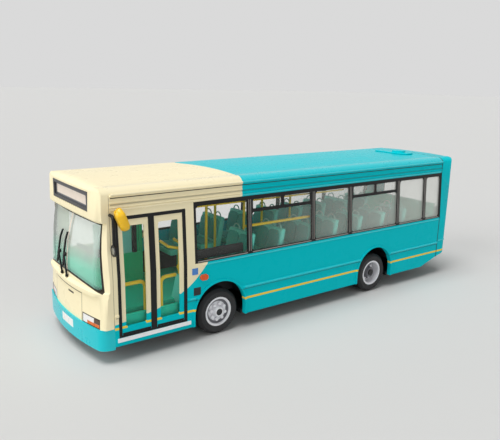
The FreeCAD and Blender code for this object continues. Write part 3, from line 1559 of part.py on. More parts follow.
def off_glass(across, height):
    """A place in front of the windscreen, clear of it by the wipers' stand-off."""
    below = [place for place in screen_levels[:-1] if float(place[0]) <= float(height)]
    low_z, low = below[-1]
    high_z, high = screen_levels[len(below)]
    share = (height - low_z) / (high_z - low_z)
    setback = low[0] + (high[0] - low[0]) * share
    bulge = low[1] + (high[1] - low[1]) * share
    side_share = across / low[2]
    return (front_x - setback - bulge * side_share * side_share + s.wiper_stand_off, across, height)


wipers = new_body("wipers")
knob_x = front_x - s.wiper_knob_lead
for foot_y, knee_y, lean in (
        (s.wiper_left_foot_y, -s.wiper_left_knee_y, s.wiper_left_lean),
        (-s.wiper_right_foot_y, -s.wiper_right_knee_y, s.wiper_right_lean)):
    pad(wipers, "XY", s.wiper_knob_low_z, [eight_points(knob_x, foot_y, s.wiper_knob_radius)],
        s.wiper_knob_high_z - s.wiper_knob_low_z)
    knee = off_glass(knee_y, s.wiper_knee_z)
    strip(wipers, (knob_x, foot_y, s.wiper_knob_high_z), knee, s.wiper_half)
    blade_low = off_glass(knee_y - lean / 2, s.wiper_blade_low_z)
    blade_mid = off_glass(knee_y + lean / 2, s.screen_mid_z)
    blade_high = off_glass(knee_y + lean, s.wiper_blade_high_z)
    strip(wipers, blade_low, knee, s.wiper_half)
    strip(wipers, knee, blade_mid, s.wiper_half)
    strip(wipers, blade_mid, blade_high, s.wiper_half)


# Check every object and write one file for each piece.

doc.recompute()
pieces = [
    item for item in doc.Objects
    if item.TypeId in ("PartDesign::Body", "Part::Cut", "Part::Common", "Part::MultiFuse", "Part::Feature")
    and not item.Label.startswith("form_")
]
for item in doc.Objects:
    for fault in ("Invalid", "Error"):
        if fault in item.State:
            raise ValueError(f"{item.Label} is {fault}")
for piece in pieces:
    if piece.Shape.isNull() or not piece.Shape.isValid():
        raise ValueError(f"{piece.Label} has no valid shape")
for piece in pieces:
    piece.Shape.exportStep(f"parts/{piece.Label}.step")
    print(piece.Label, len(piece.Shape.Solids), round(piece.Shape.Volume, 2))
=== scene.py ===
import math

import bmesh
import bpy
from mathutils import Matrix, Vector


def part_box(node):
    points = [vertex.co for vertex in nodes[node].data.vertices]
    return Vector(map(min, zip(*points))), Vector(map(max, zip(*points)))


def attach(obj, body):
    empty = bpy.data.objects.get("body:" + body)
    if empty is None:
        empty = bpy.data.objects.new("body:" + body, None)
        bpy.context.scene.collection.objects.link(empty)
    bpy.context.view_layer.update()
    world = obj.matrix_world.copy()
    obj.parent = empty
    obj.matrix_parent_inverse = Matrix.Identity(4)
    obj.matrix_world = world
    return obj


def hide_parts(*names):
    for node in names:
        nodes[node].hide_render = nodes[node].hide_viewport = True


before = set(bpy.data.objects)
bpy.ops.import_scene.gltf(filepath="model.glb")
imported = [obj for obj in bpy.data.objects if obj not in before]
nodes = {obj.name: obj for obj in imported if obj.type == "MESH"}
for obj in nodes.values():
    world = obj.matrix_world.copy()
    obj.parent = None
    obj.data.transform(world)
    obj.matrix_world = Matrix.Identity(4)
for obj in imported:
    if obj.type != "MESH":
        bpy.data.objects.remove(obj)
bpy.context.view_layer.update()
mm = 0.001


# Base of the model: one black plastic moulding with bearings, sump and tank shapes.
# It is pushed up into the body shell and held by two screws from below, and has the dull
# grain of moulded plastic. The wheel boxes inside the saloon belong to it.

def shown_colour(red, green, blue):
    """A colour as it is read off the finished model, on the 0 to 255 scale."""
    levels = [value / 255 for value in (red, green, blue)]
    return [v / 12.92 if v <= 0.04045 else ((v + 0.055) / 1.055) ** 2.4 for v in levels] + [1.0]


def finish(name, colour, roughness, metallic=0.0, mottle=0.06, grain=700, relief=0.03,
           colour_from=None, shine=0.5):
    """A moulded, painted or metal finish whose tone, gloss and grain drift over the piece.

    The drift of tone is mottle, the fineness of its patches grain, and the strength of the
    bumps relief. A function given as colour_from gives the colour at each place instead.
    """
    gloss_drift = 0.2
    grain_depth = 0.1 * mm
    material = bpy.data.materials.new(name)
    material.use_nodes = True
    tree = material.node_tree
    shader = tree.nodes["Principled BSDF"]
    shader.inputs["Metallic"].default_value = metallic
    shader.inputs["Specular IOR Level"].default_value = shine
    place = tree.nodes.new("ShaderNodeTexCoord")
    noise = tree.nodes.new("ShaderNodeTexNoise")
    noise.inputs["Scale"].default_value = grain
    noise.inputs["Detail"].default_value = 4
    tree.links.new(place.outputs["Object"], noise.inputs["Vector"])
    tone = tree.nodes.new("ShaderNodeMapRange")
    tone.inputs["To Min"].default_value = 1 - mottle
    tone.inputs["To Max"].default_value = 1 + mottle
    tree.links.new(noise.outputs["Fac"], tone.inputs["Value"])
    shade = tree.nodes.new("ShaderNodeMix")
    shade.data_type = "RGBA"
    shade.blend_type = "MULTIPLY"
    shade.inputs["Factor"].default_value = 1
    shade.inputs["A"].default_value = shown_colour(*colour)
    if colour_from:
        tree.links.new(colour_from(tree, place.outputs["Object"]), shade.inputs["A"])
    tree.links.new(tone.outputs["Result"], shade.inputs["B"])
    tree.links.new(shade.outputs["Result"], shader.inputs["Base Color"])
    gloss = tree.nodes.new("ShaderNodeMapRange")
    gloss.inputs["To Min"].default_value = roughness * (1 - gloss_drift)
    gloss.inputs["To Max"].default_value = roughness * (1 + gloss_drift)
    tree.links.new(noise.outputs["Fac"], gloss.inputs["Value"])
    tree.links.new(gloss.outputs["Result"], shader.inputs["Roughness"])
    bump = tree.nodes.new("ShaderNodeBump")
    bump.inputs["Strength"].default_value = relief
    bump.inputs["Distance"].default_value = grain_depth
    tree.links.new(noise.outputs["Fac"], bump.inputs["Height"])
    tree.links.new(bump.outputs["Normal"], shader.inputs["Normal"])
    return material


def dress(material, *names):
    """Give CAD nodes their finish."""
    for name in names:
        data = nodes[name].data
        data.materials.clear()
        data.materials.append(material)


def piece_from(form, name, material, body):
    """Turn a finished bmesh into a named piece that moves with its body."""
    data = bpy.data.meshes.new(name)
    form.to_mesh(data)
    form.free()
    data.materials.append(material)
    piece = bpy.data.objects.new(name, data)
    bpy.context.collection.objects.link(piece)
    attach(piece, body)
    return piece


def add_round(form, centre, radius, length, sides, axis="Y", top_radius=None):
    """A cylinder or cone round the named axis, centred at a place in millimetres."""
    turn = {"X": Matrix.Rotation(math.radians(90), 4, "Y"),
            "Y": Matrix.Rotation(math.radians(-90), 4, "X"),
            "Z": Matrix.Identity(4)}[axis]
    bmesh.ops.create_cone(
        form, cap_ends=True, segments=sides, radius1=radius * mm,
        radius2=(radius if top_radius is None else top_radius) * mm, depth=length * mm,
        matrix=Matrix.Translation(Vector(centre) * mm) @ turn)


def add_box(form, low, high, round_off=0.0, turn=Matrix.Identity(4), corners=0.0):
    """A block between two corners in millimetres, turned round its middle, its edges rounded off.

    A sheet has only its four corners rounded, by the amount given as corners.
    """
    middle = (Vector(low) + Vector(high)) / 2 * mm
    size = (Vector(high) - Vector(low)) * mm
    made = bmesh.ops.create_cube(
        form, size=1,
        matrix=Matrix.Translation(middle) @ turn @ Matrix.Diagonal((*size, 1)))
    lines = list(dict.fromkeys(line for vertex in made["verts"] for line in vertex.link_edges))
    if corners:
        across = [line for line in lines if line.calc_length() < 1.01 * min(size)]
        bmesh.ops.bevel(form, geom=across, offset=corners * mm, affect="EDGES", segments=5,
                        profile=0.5, material=-1)
    elif round_off:
        bmesh.ops.bevel(form, geom=lines, offset=round_off * mm, affect="EDGES", segments=2,
                        profile=0.5, material=-1)


base_plastic = finish("base_plastic", (26, 27, 29), 0.55, relief=0.1)
screw_steel = finish("screw_steel", (150, 150, 152), 0.35, metallic=0.9)
dress(base_plastic, "base_plate", "arch_boxes_left", "arch_boxes_right")
screw_places = (12.0, -35.0)
head_z, head_height, head_radius, head_face_radius = 4.2, 0.8, 0.9, 0.75
slot_reach, slot_half_width, slot_low, slot_high = 0.5, 0.1, 3.72, 3.85
screws = bmesh.new()
for screw_x in screw_places:
    add_round(screws, (screw_x, 0, head_z), head_radius, head_height, 24, "Z", head_face_radius)
piece_from(screws, "base_screws", screw_steel, "bus_body")
slots = bmesh.new()
for screw_x in screw_places:
    for turn in (0, 90):
        add_box(slots, (screw_x - slot_reach, -slot_half_width, slot_low),
                (screw_x + slot_reach, slot_half_width, slot_high),
                turn=Matrix.Rotation(math.radians(turn), 4, "Z"))
piece_from(slots, "base_screw_slots", base_plastic, "bus_body")


# Axles: plain drawn steel wire, pressed into the wheels and running in the base's bearings.
# Only its ends and the span between the wheels show, from below.

axle_places = {"front": 28.0, "rear": -24.8}
axle_height = 5.5
axle_wire = finish("axle_wire", (150, 150, 152), 0.35, metallic=0.9)
dress(axle_wire, "front_axle", "rear_axle")


# Tyres: soft black rubber rings with a dull side wall, pushed over the wheel rims.
# Fine moulded rings run round the side wall, centred on each axle.

def ring_relief(tree, position, axle_x):
    """Fine rings round one axle, as a height for the rubber's relief."""
    ring_scale = 340
    centred = tree.nodes.new("ShaderNodeMapping")
    centred.inputs["Location"].default_value = (-axle_x * mm, 0, -axle_height * mm)
    tree.links.new(position, centred.inputs["Vector"])
    rings = tree.nodes.new("ShaderNodeTexWave")
    rings.wave_type = "RINGS"
    rings.rings_direction = "Y"
    rings.inputs["Scale"].default_value = ring_scale
    tree.links.new(centred.outputs["Vector"], rings.inputs["Vector"])
    return rings.outputs["Fac"]


ring_depth = 0.25
for axle, axle_x in axle_places.items():
    rubber = finish(f"{axle}_tyre_rubber", (27, 27, 29), 0.62)
    tree = rubber.node_tree
    place = tree.nodes["Texture Coordinate"].outputs["Object"]
    bump = tree.nodes["Bump"]
    bump.inputs["Strength"].default_value = ring_depth
    tree.links.new(ring_relief(tree, place, axle_x), bump.inputs["Height"])
    dress(rubber, f"{axle}_tyre_left", f"{axle}_tyre_right")


# Wheels: moulded plastic discs painted silver, with painted shade in each dish, a ring of eight
# moulded nuts and a dark hub cap. The front ones stand out at the hub and the rear ones are
# deep dishes. They are pressed on the ends of the axles.

def calculate(tree, operation, first, second=0.0):
    """One Math node; each term is a number or another node's output."""
    node = tree.nodes.new("ShaderNodeMath")
    node.operation = operation
    for socket, term in zip(node.inputs, (first, second)):
        if isinstance(term, (int, float)):
            socket.default_value = term
        else:
            tree.links.new(term, socket)
    return node.outputs["Value"]


def choose(tree, share, colour_off, colour_on):
    """One of two colours; each is a colour read off the model or a node's output."""
    node = tree.nodes.new("ShaderNodeMix")
    node.data_type = "RGBA"
    tree.links.new(share, node.inputs["Factor"])
    for label, term in (("A", colour_off), ("B", colour_on)):
        if isinstance(term, tuple):
            node.inputs[label].default_value = shown_colour(*term)
        else:
            tree.links.new(term, node.inputs[label])
    return node.outputs["Result"]


def places(tree, position):
    """The three coordinates in millimetres."""
    split = tree.nodes.new("ShaderNodeSeparateXYZ")
    tree.links.new(position, split.inputs["Vector"])
    return [calculate(tree, "MULTIPLY", split.outputs[axis], 1 / mm) for axis in ("X", "Y", "Z")]


def held_to_share(tree, amount):
    """The amount kept from 0 to 1."""
    return calculate(tree, "MINIMUM", calculate(tree, "MAXIMUM", amount, 0.0), 1.0)


def edge(tree, amount):
    """A masked paint edge: 1 where the amount is over zero, with a hair of softness."""
    sharpness = 12.0
    sharp = calculate(tree, "MULTIPLY", amount, sharpness)
    return held_to_share(tree, calculate(tree, "ADD", sharp, 0.5))


def above(tree, value, limit):
    """1 where the value is over the limit."""
    return edge(tree, calculate(tree, "SUBTRACT", value, limit))


def below(tree, value, limit):
    """1 where the value is under the limit."""
    return edge(tree, calculate(tree, "SUBTRACT", limit, value))


def between(tree, value, low, high):
    """1 where the value lies between two limits."""
    away = calculate(tree, "ABSOLUTE", calculate(tree, "SUBTRACT", value, (low + high) / 2))
    return below(tree, away, (high - low) / 2)


def all_of(tree, *shares):
    """1 where every share is 1."""
    held = shares[0]
    for share in shares[1:]:
        held = calculate(tree, "MULTIPLY", held, share)
    return held


def any_of(tree, *shares):
    """1 where one of the shares is 1."""
    held = shares[0]
    for share in shares[1:]:
        held = calculate(tree, "MAXIMUM", held, share)
    return held


rim_silver = (234, 234, 238)
dish_shade_grey = (110, 110, 116)


def wheel_colours(axle_x, dish_from, dish_to):
    """Silver rim and hub, with painted shade darkening the dish between two radii."""
    def colours(tree, position):
        x, _, z = places(tree, position)
        along = calculate(tree, "SUBTRACT", x, axle_x)
        up = calculate(tree, "SUBTRACT", z, axle_height)
        squares = calculate(tree, "ADD", calculate(tree, "MULTIPLY", along, along),
                            calculate(tree, "MULTIPLY", up, up))
        radius = calculate(tree, "SQRT", squares)
        # The darker grey of the dish is painted shade.
        return choose(tree, between(tree, radius, dish_from, dish_to), rim_silver, dish_shade_grey)
    return colours


nut_silver = finish("nut_silver", (238, 238, 242), 0.3, metallic=0.1)
hub_black = finish("hub_black", (22, 22, 24), 0.4)
nut_count, first_nut_angle, nut_radius, nut_length = 8, 12, 0.38, 0.9
cap_radius, cap_length = 0.85, 0.6
for axle, dish_from, dish_to, nut_ring, nut_inset, cap_inset in (
        ("front", 2.4, 2.98, 1.95, 0.85, 0.05), ("rear", 0.6, 2.75, 2.2, 2.35, 0.1)):
    axle_x = axle_places[axle]
    wheel_silver = finish(f"{axle}_wheel_silver", rim_silver, 0.32, metallic=0.1,
                          colour_from=wheel_colours(axle_x, dish_from, dish_to))
    dress(wheel_silver, f"{axle}_wheel_left", f"{axle}_wheel_right")
    for side, sign in (("left", 1), ("right", -1)):
        low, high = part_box(f"{axle}_wheel_{side}")
        outer = max(abs(low[1]), abs(high[1])) / mm
        nuts = bmesh.new()
        for number in range(nut_count):
            angle = math.radians(360 / nut_count * number + first_nut_angle)
            add_round(nuts, (axle_x + nut_ring * math.cos(angle), sign * (outer - nut_inset),
                             axle_height + nut_ring * math.sin(angle)), nut_radius, nut_length, 8)
        piece_from(nuts, f"{axle}_wheel_nuts_{side}", nut_silver, f"{axle}_wheelset")
        cap = bmesh.new()
        add_round(cap, (axle_x, sign * (outer - cap_inset - cap_length / 2), axle_height),
                  cap_radius, cap_length, 24)
        piece_from(cap, f"{axle}_hub_cap_{side}", hub_black, f"{axle}_wheelset")


# Saloon: floor, paired seats and rear bench in teal plastic, moulded together. Woven covers
# are printed on the cushions and backs, and each back carries a thin loop handle. A low panel
# and a step riser stand inside the door.

def smooth_copy(name, material, body, sharp=32, round_off=0.0):
    """A merged copy of a CAD node, shaded smooth but for its sharp edges, in the node's place."""
    form = bmesh.new()
    form.from_mesh(nodes[name].data)
    bmesh.ops.remove_doubles(form, verts=form.verts, dist=0.001 * mm)
    if round_off:
        flat_angle, corner_angle = 1, 15
        bmesh.ops.dissolve_limit(form, angle_limit=math.radians(flat_angle), verts=form.verts,
                                 edges=form.edges)
        corners = [line for line in form.edges
                   if line.calc_face_angle(0) > math.radians(corner_angle)]
        bmesh.ops.bevel(form, geom=corners, offset=round_off * mm, affect="EDGES", segments=3,
                        profile=0.5, material=-1)
    for face in form.faces:
        face.smooth = True
    for line in form.edges:
        line.smooth = line.calc_face_angle(0) < math.radians(sharp)
    piece = piece_from(form, f"{name}_skin", material, body)
    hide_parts(name)


saloon_teal = finish("saloon_teal", (12, 226, 190), 0.5, relief=0.08, shine=0.3)
seat_teal = finish("seat_teal", (112, 236, 218), 0.5, relief=0.08, shine=0.3)
dress(saloon_teal, "saloon_floor", "rear_bench")
dress(seat_teal, "seats_left", "seats_right", "driver_seat")
for name in ("seats_left", "seats_right", "driver_seat"):
    smooth_copy(name, seat_teal, "bus_body", sharp=60, round_off=0.4)

cloth_teal = (76, 188, 176)
cloth_ochre = (190, 156, 92)


def woven_colours(tree, position):
    """Teal cloth with small ochre flecks."""
    fleck_scale = 1500
    flecks = tree.nodes.new("ShaderNodeTexVoronoi")
    flecks.inputs["Scale"].default_value = fleck_scale
    tree.links.new(position, flecks.inputs["Vector"])
    ramp = tree.nodes.new("ShaderNodeValToRGB")
    fleck, cloth = ramp.color_ramp.elements
    fleck.color = shown_colour(*cloth_ochre)
    fleck.position = 0.07
    cloth.color = shown_colour(*cloth_teal)
    cloth.position = 0.16
    tree.links.new(flecks.outputs["Distance"], ramp.inputs["Fac"])
    return ramp.outputs["Color"]


seat_cloth = finish("seat_cloth", cloth_teal, 0.8, relief=0.3, colour_from=woven_colours)
handle_pale = finish("handle_pale", (150, 216, 200), 0.4)
back_turn = Matrix.Rotation(math.radians(-11.8), 4, "Y")


def add_seat_cover(form, cushion, back, low_y, high_y):
    """Thin cloth on one cushion and on its leaning back, each between two ends along the bus."""
    cushion_low, cushion_high, back_low, back_high = 15.75, 16.15, 16.5, 22.1
    add_box(form, (cushion[0], low_y, cushion_low), (cushion[1], high_y, cushion_high),
            corners=0.9)
    add_box(form, (back[0], low_y, back_low), (back[1], high_y, back_high), turn=back_turn,
            corners=1.3)


seat_pitch = 9.4
seat_widths = ((4.6, 8.95), (9.25, 13.6))
cushion_rear, cushion_front, back_rear, back_front = 4.3, 0.2, 5.5, 5.1
handle_back, handle_height, handle_reach, handle_radius = 6.7, 22.45, 1.3, 0.17
for side, sign, first_x, count in (("left", 1, 24.0, 7), ("right", -1, 30.0, 8)):
    covers = bmesh.new()
    handles = bmesh.new()
    for number in range(count):
        edge_x = first_x - seat_pitch * number
        for inner, outer in seat_widths:
            low_y, high_y = sorted((sign * inner, sign * outer))
            add_seat_cover(covers, (edge_x - cushion_rear, edge_x - cushion_front),
                           (edge_x - back_rear, edge_x - back_front), low_y, high_y)
            handle_x, middle_y = edge_x - handle_back, (low_y + high_y) / 2
            ring_place = Vector((handle_x, middle_y + handle_reach, handle_height)) * mm
            ring = bmesh.ops.create_circle(
                handles, cap_ends=False, radius=handle_radius * mm, segments=8,
                matrix=Matrix.Translation(ring_place))
            ring_lines = list(dict.fromkeys(
                line for vertex in ring["verts"] for line in vertex.link_edges))
            bmesh.ops.spin(
                handles, geom=ring_lines + ring["verts"],
                cent=Vector((handle_x, middle_y, handle_height)) * mm, axis=(1, 0, 0),
                angle=math.radians(180), steps=10, use_merge=False)
    bmesh.ops.recalc_face_normals(handles, faces=handles.faces)
    piece_from(covers, f"seat_covers_{side}", seat_cloth, "bus_body")
    piece_from(handles, f"seat_handles_{side}", handle_pale, "bus_body")
driver_cover = bmesh.new()
add_seat_cover(driver_cover, (41.5, 46.5), (41.3, 41.7), -11.4, -6.2)
piece_from(driver_cover, "driver_seat_cover", seat_cloth, "bus_body")
panel_foot, panel_top, panel_height, panel_flatness = 3.1, 1.6, 6.8, 0.12
lean = Matrix.Identity(4)
lean[1][2] = 0.18
panel = bmesh.new()
bmesh.ops.create_cone(
    panel, cap_ends=True, segments=4, radius1=panel_foot * mm, radius2=panel_top * mm,
    depth=panel_height * mm,
    matrix=Matrix.Translation(Vector((37.2, 12.0, 12.2)) * mm) @ lean
    @ Matrix.Diagonal((panel_flatness, 1, 1, 1)) @ Matrix.Rotation(math.radians(45), 4, "Z"))
piece_from(panel, "entrance_panel", seat_teal, "bus_body")
doorway_rear, doorway_front = 37.8, 52.6
riser = bmesh.new()
add_box(riser, (doorway_rear, 13.3, 5.6), (doorway_front, 13.7, 9.3), 0.1)
add_box(riser, (doorway_rear, 13.0, 8.9), (doorway_front, 13.7, 9.55), 0.15)
piece_from(riser, "entrance_riser", saloon_teal, "bus_body")


# Driver's cab: a green moulded wall behind the driver with a low door, the dash and a black
# steering wheel, dropped into the floor. A dark post and the ticket machine stand on the door.

cab_green = finish("cab_green", (36, 198, 138), 0.5, relief=0.08, shine=0.3)
dash_mint = finish("dash_mint", (140, 236, 200), 0.5, relief=0.08, shine=0.3)
dress(cab_green, "cab_wall")
dress(dash_mint, "dashboard")
dress(base_plastic, "steering_wheel")
post = bmesh.new()
add_box(post, (39.7, -3.9, 17.4), (40.8, -3.2, 27.4), 0.1)
add_box(post, (47.2, -4.9, 17.45), (49.6, -3.3, 19.6), 0.2)
piece_from(post, "cab_post_and_machine", base_plastic, "bus_body")


# Handrails and poles: thin bars moulded in yellow plastic, glued to the floor and the shell.
# A rail runs under the roof over the windows, and a bar by the door carries a round machine.

def add_bar(form, start, end, radius):
    """A round bar between two places in millimetres."""
    run = Vector(end) - Vector(start)
    middle = (Vector(start) + Vector(end)) / 2 * mm
    bmesh.ops.create_cone(
        form, cap_ends=True, segments=8, radius1=radius * mm, radius2=radius * mm,
        depth=run.length * mm,
        matrix=Matrix.Translation(middle) @ run.to_track_quat("Z", "Y").to_matrix().to_4x4())


rail_yellow = finish("rail_yellow", (252, 216, 48), 0.35)
dress(rail_yellow, "handrails")
rail_y = 13.2
guard_height, guard_radius, guard_meeting = 22.0, 0.33, (37.4, 13.0)
bars = bmesh.new()
for sign in (1, -1):
    add_bar(bars, (33.5, sign * rail_y, 30.85), (-13.0, sign * rail_y, 30.6), 0.2)
add_bar(bars, (37.6, -3.0, 9.5), (37.6, -3.0, 36.0), 0.32)
add_bar(bars, (*guard_meeting, 16.1), (*guard_meeting, 22.2), 0.28)
for first, bend in (((38.1, 5.7), (38.8, 10.8)), ((34.6, 5.8), (35.4, 11.4))):
    for start, end in ((first, bend), (bend, guard_meeting)):
        add_bar(bars, (*start, guard_height), (*end, guard_height), guard_radius)
add_round(bars, (37.3, 13.0, 17.6), 0.65, 0.7, 20, "X")
piece_from(bars, "entrance_bars", rail_yellow, "bus_body")


# Body shell: one die-cast metal shell, its aqua, cream and yellow enamel sprayed through
# masks. The cream covers the front of the roof and sweeps down to the door. Panel joints show
# as dark lines, shadow is painted along the gutter groove and shade under the skirt rib and a
# cove rib, and the moulded ribs and the roof's edge shine more than the rest.

aqua = (6, 196, 206)
cream = (248, 236, 197)
line_yellow = (255, 216, 72)
joint_and_shadow_dark = (58, 52, 46)
line_low, line_high = 7.45, 7.97


def swept_cream(tree, x, z):
    """The cream reaches down to this curve, which falls towards the front."""
    curve_start, curve_length, curve_drop, curve_foot = 36.2, 7.7, 5.7, 8.1
    fall = calculate(tree, "DIVIDE", calculate(tree, "SUBTRACT", curve_start, x), curve_length)
    drop = calculate(tree, "MULTIPLY", calculate(tree, "EXPONENT", fall), curve_drop)
    return above(tree, z, calculate(tree, "ADD", drop, curve_foot))


def shell_colours(tree, position):
    """Aqua with the cream front, the yellow line, the dark joints and painted shade in the
    grooves.
    """
    roof_slant, roof_bow, roof_start, roof_side = -0.10, 0.0045, 22.35, 31.0
    rear_joint, nose_joint = (-53.7, -53.36), 53.9
    gutter_shadow_band, rib_shade_bands, rib_shade_tone = (35.0, 35.2), ((33.6, 33.95), (9.9, 10.2)), 0.4
    x, y, z = places(tree, position)
    slant = calculate(tree, "MULTIPLY", y, roof_slant)
    bow = calculate(tree, "MULTIPLY", calculate(tree, "MULTIPLY", y, y), roof_bow)
    roof_line = calculate(tree, "ADD", calculate(tree, "ADD", slant, bow), roof_start)
    roof_front = all_of(tree, above(tree, z, roof_side), above(tree, x, roof_line))
    share = any_of(tree, roof_front, swept_cream(tree, x, z))
    painted = choose(tree, between(tree, z, line_low, line_high),
                     choose(tree, share, aqua, cream), line_yellow)
    joint = between(tree, x, *rear_joint)
    along = below(tree, x, nose_joint)
    # The gutter line is painted shadow, and the two bands under the ribs are painted shade.
    gutter_shadow = all_of(tree, between(tree, z, *gutter_shadow_band), along)
    shade = any_of(tree, *[between(tree, z, *limits) for limits in rib_shade_bands])
    soft = calculate(tree, "MULTIPLY", all_of(tree, shade, along), rib_shade_tone)
    return choose(tree, any_of(tree, joint, gutter_shadow, soft), painted, joint_and_shadow_dark)


enamel = {"roughness": 0.28, "mottle": 0.015, "grain": 260, "relief": 0.006, "shine": 0.03}
polished = dict(enamel, roughness=0.16, shine=0.7)
shell_enamel = finish("shell_enamel", aqua, colour_from=shell_colours, **enamel)
rib_enamel = finish("rib_enamel", aqua, colour_from=shell_colours, **polished)
aqua_enamel = finish("aqua_enamel", aqua, **enamel)
crest_low, crest_high, crest_shine = 36.1, 36.98, 0.6
shell_tree = shell_enamel.node_tree
shell_height = places(shell_tree, shell_tree.nodes["Texture Coordinate"].outputs["Object"])[2]
crest = calculate(shell_tree, "MULTIPLY",
                  between(shell_tree, shell_height, crest_low, crest_high), crest_shine)
shell_tree.links.new(calculate(shell_tree, "ADD", crest, enamel["shine"]),
                     shell_tree.nodes["Principled BSDF"].inputs["Specular IOR Level"])
dress(shell_enamel, "body_shell")
smooth_copy("body_shell", shell_enamel, "bus_body")
ribs_front, ribs_rear = 53.9, -53.3
skirt_rib = (10.6, 15.93, 0.24)
rib_runs = (
    (*skirt_rib, 36.4, 34.9),
    (11.1, 15.7, 0.24, -53.9, -57.0),
    (*skirt_rib, 21.2, -18.4),
    (*skirt_rib, -31.3, ribs_rear),
    (18.1, 15.72, 0.22, 33.0, ribs_rear),
    (32.75, 14.88, 0.25, ribs_front, ribs_rear),
    (35.75, 15.05, 0.25, ribs_front, ribs_rear))
ribs = bmesh.new()
for sign in (1, -1):
    for height, out, radius, front_x, rear_x in rib_runs:
        add_round(ribs, ((front_x + rear_x) / 2, sign * out, height), radius, front_x - rear_x,
                  8, "X")
piece_from(ribs, "moulded_ribs", rib_enamel, "bus_body")
dress(aqua_enamel, "roof_pod")
smooth_copy("roof_pod", aqua_enamel, "bus_body", sharp=60, round_off=0.15)


# Marks on the sides: a black rounded flap ahead of each front arch and, on the door side, a
# plain blue square printed above it.

flaps = bmesh.new()
for sign in (1, -1):
    low_y, high_y = sorted((sign * 15.7, sign * 15.88))
    add_box(flaps, (33.45, low_y, 11.15), (35.3, high_y, 13.0), 0.08)
piece_from(flaps, "side_flaps", base_plastic, "bus_body")
print_blue = finish("print_blue", (70, 130, 204), 0.4)
square = bmesh.new()
add_box(square, (34.2, 15.75, 16.1), (35.7, 15.84, 17.6))
piece_from(square, "blue_square", print_blue, "bus_body")


# Window frames: satin black plastic, moulded round the clear panes and pushed into the shell
# from inside. Thin pale strips along each sill and down each pillar are painted highlights.

trim_black = finish("trim_black", (14, 14, 16), 0.38, shine=0.3)
glazing_highlight_grey = finish("glazing_highlight_grey", (150, 146, 140), 0.5)
dress(trim_black, "window_frames_left", "window_frames_right")
bay_ends = (34.9, 19.65, -0.6, -14.0, -33.55, -45.7, -53.4)
waist_half_width, waist_height, wall_lean = 15.8, 18.57, 0.06074


def wall_y(z, out):
    """Half width of the leaning side wall at a height, moved out."""
    return waist_half_width - wall_lean * (z - waist_height) + out


# The pale grey strips are painted highlights on the glazing's edges.
strip_out, strip_half_depth = -0.1, 0.06
sill_low, sill_middle, sill_high, sill_end_gap = 18.78, 18.9, 19.02, 0.75
pillar_low, pillar_middle, pillar_high, pillar_half_width = 19.2, 25.3, 31.5, 0.07
for side, sign in (("left", 1), ("right", -1)):
    strips = bmesh.new()
    turn = Matrix.Rotation(sign * math.atan(wall_lean), 4, "X")
    for front_x, rear_x in zip(bay_ends, bay_ends[1:]):
        middle_y = sign * wall_y(sill_middle, strip_out)
        add_box(strips, (rear_x + sill_end_gap, middle_y - strip_half_depth, sill_low),
                (front_x - sill_end_gap, middle_y + strip_half_depth, sill_high), turn=turn)
    for pillar_x in bay_ends[1:-1]:
        middle_y = sign * wall_y(pillar_middle, strip_out)
        for offset in (-0.26, 0.26):
            strip_x = pillar_x + offset
            add_box(
                strips, (strip_x - pillar_half_width, middle_y - strip_half_depth, pillar_low),
                (strip_x + pillar_half_width, middle_y + strip_half_depth, pillar_high),
                turn=turn)
    piece_from(strips, f"window_strips_{side}", glazing_highlight_grey, "bus_body")
display = bmesh.new()
add_box(display, (20.4, 13.1, 18.7), (34.3, 13.85, 20.9), 0.1)
piece_from(display, "side_display_box", base_plastic, "bus_body")


# Panes: clear moulded plastic, thin and almost colourless, held by the frames. A pale painted
# reflection grows on them as they are seen at a slant. The cab's screen is a teal sheet of its
# own.

def clear_finish(name, colour, face_on, edge_on, colour_from=None, solid_from=None):
    """Clear plastic; solid_from gives the share that is printed and lets nothing through."""
    reflection_starts, reflection_full = 0.16, 0.34
    material = finish(name, colour, 0.06, mottle=0.02, relief=0.02, colour_from=colour_from)
    tree = material.node_tree
    shader = tree.nodes["Principled BSDF"]
    # The pale veil is painted reflection, growing as the pane is seen at a slant.
    facing = tree.nodes.new("ShaderNodeLayerWeight")
    facing.inputs["Blend"].default_value = 0.35
    cover = tree.nodes.new("ShaderNodeMapRange")
    cover.inputs["From Min"].default_value = reflection_starts
    cover.inputs["From Max"].default_value = reflection_full
    cover.inputs["To Min"].default_value = face_on
    cover.inputs["To Max"].default_value = edge_on
    tree.links.new(facing.outputs["Facing"], cover.inputs["Value"])
    held = cover.outputs["Result"]
    if solid_from:
        place = tree.nodes["Texture Coordinate"].outputs["Object"]
        held = any_of(tree, held, solid_from(tree, place))
    tree.links.new(held, shader.inputs["Alpha"])
    return material


pane_clear = clear_finish("pane_clear", (236, 238, 230), 0.02, 0.46)
screen_teal = clear_finish("screen_teal", (168, 252, 244), 0.6, 0.85)
dress(pane_clear, "glazing_left", "glazing_right", "rear_window", "cab_window_glass",
      "door_glazing")
screen = bmesh.new()
add_box(screen, (41.0, -3.75, 17.5), (50.4, -3.45, 25.5), 0.05)
piece_from(screen, "cab_screen", screen_teal, "bus_body")


# Door: a black frame round two leaves moulded in plastic and sprayed like the shell around
# them, cream above the swept curve and aqua below it, over a white step edge.

def leaf_colours(tree, position):
    """Cream over aqua, with the yellow line on the stiles but not across the panes."""
    rear_pane, front_pane = (38.9, 43.2), (47.0, 51.3)
    x, _, z = places(tree, position)
    painted = choose(tree, swept_cream(tree, x, z), aqua, cream)
    panes = any_of(tree, between(tree, x, *rear_pane), between(tree, x, *front_pane))
    line = calculate(tree, "SUBTRACT", between(tree, z, line_low, line_high), panes)
    return choose(tree, calculate(tree, "MAXIMUM", line, 0.0), painted, line_yellow)


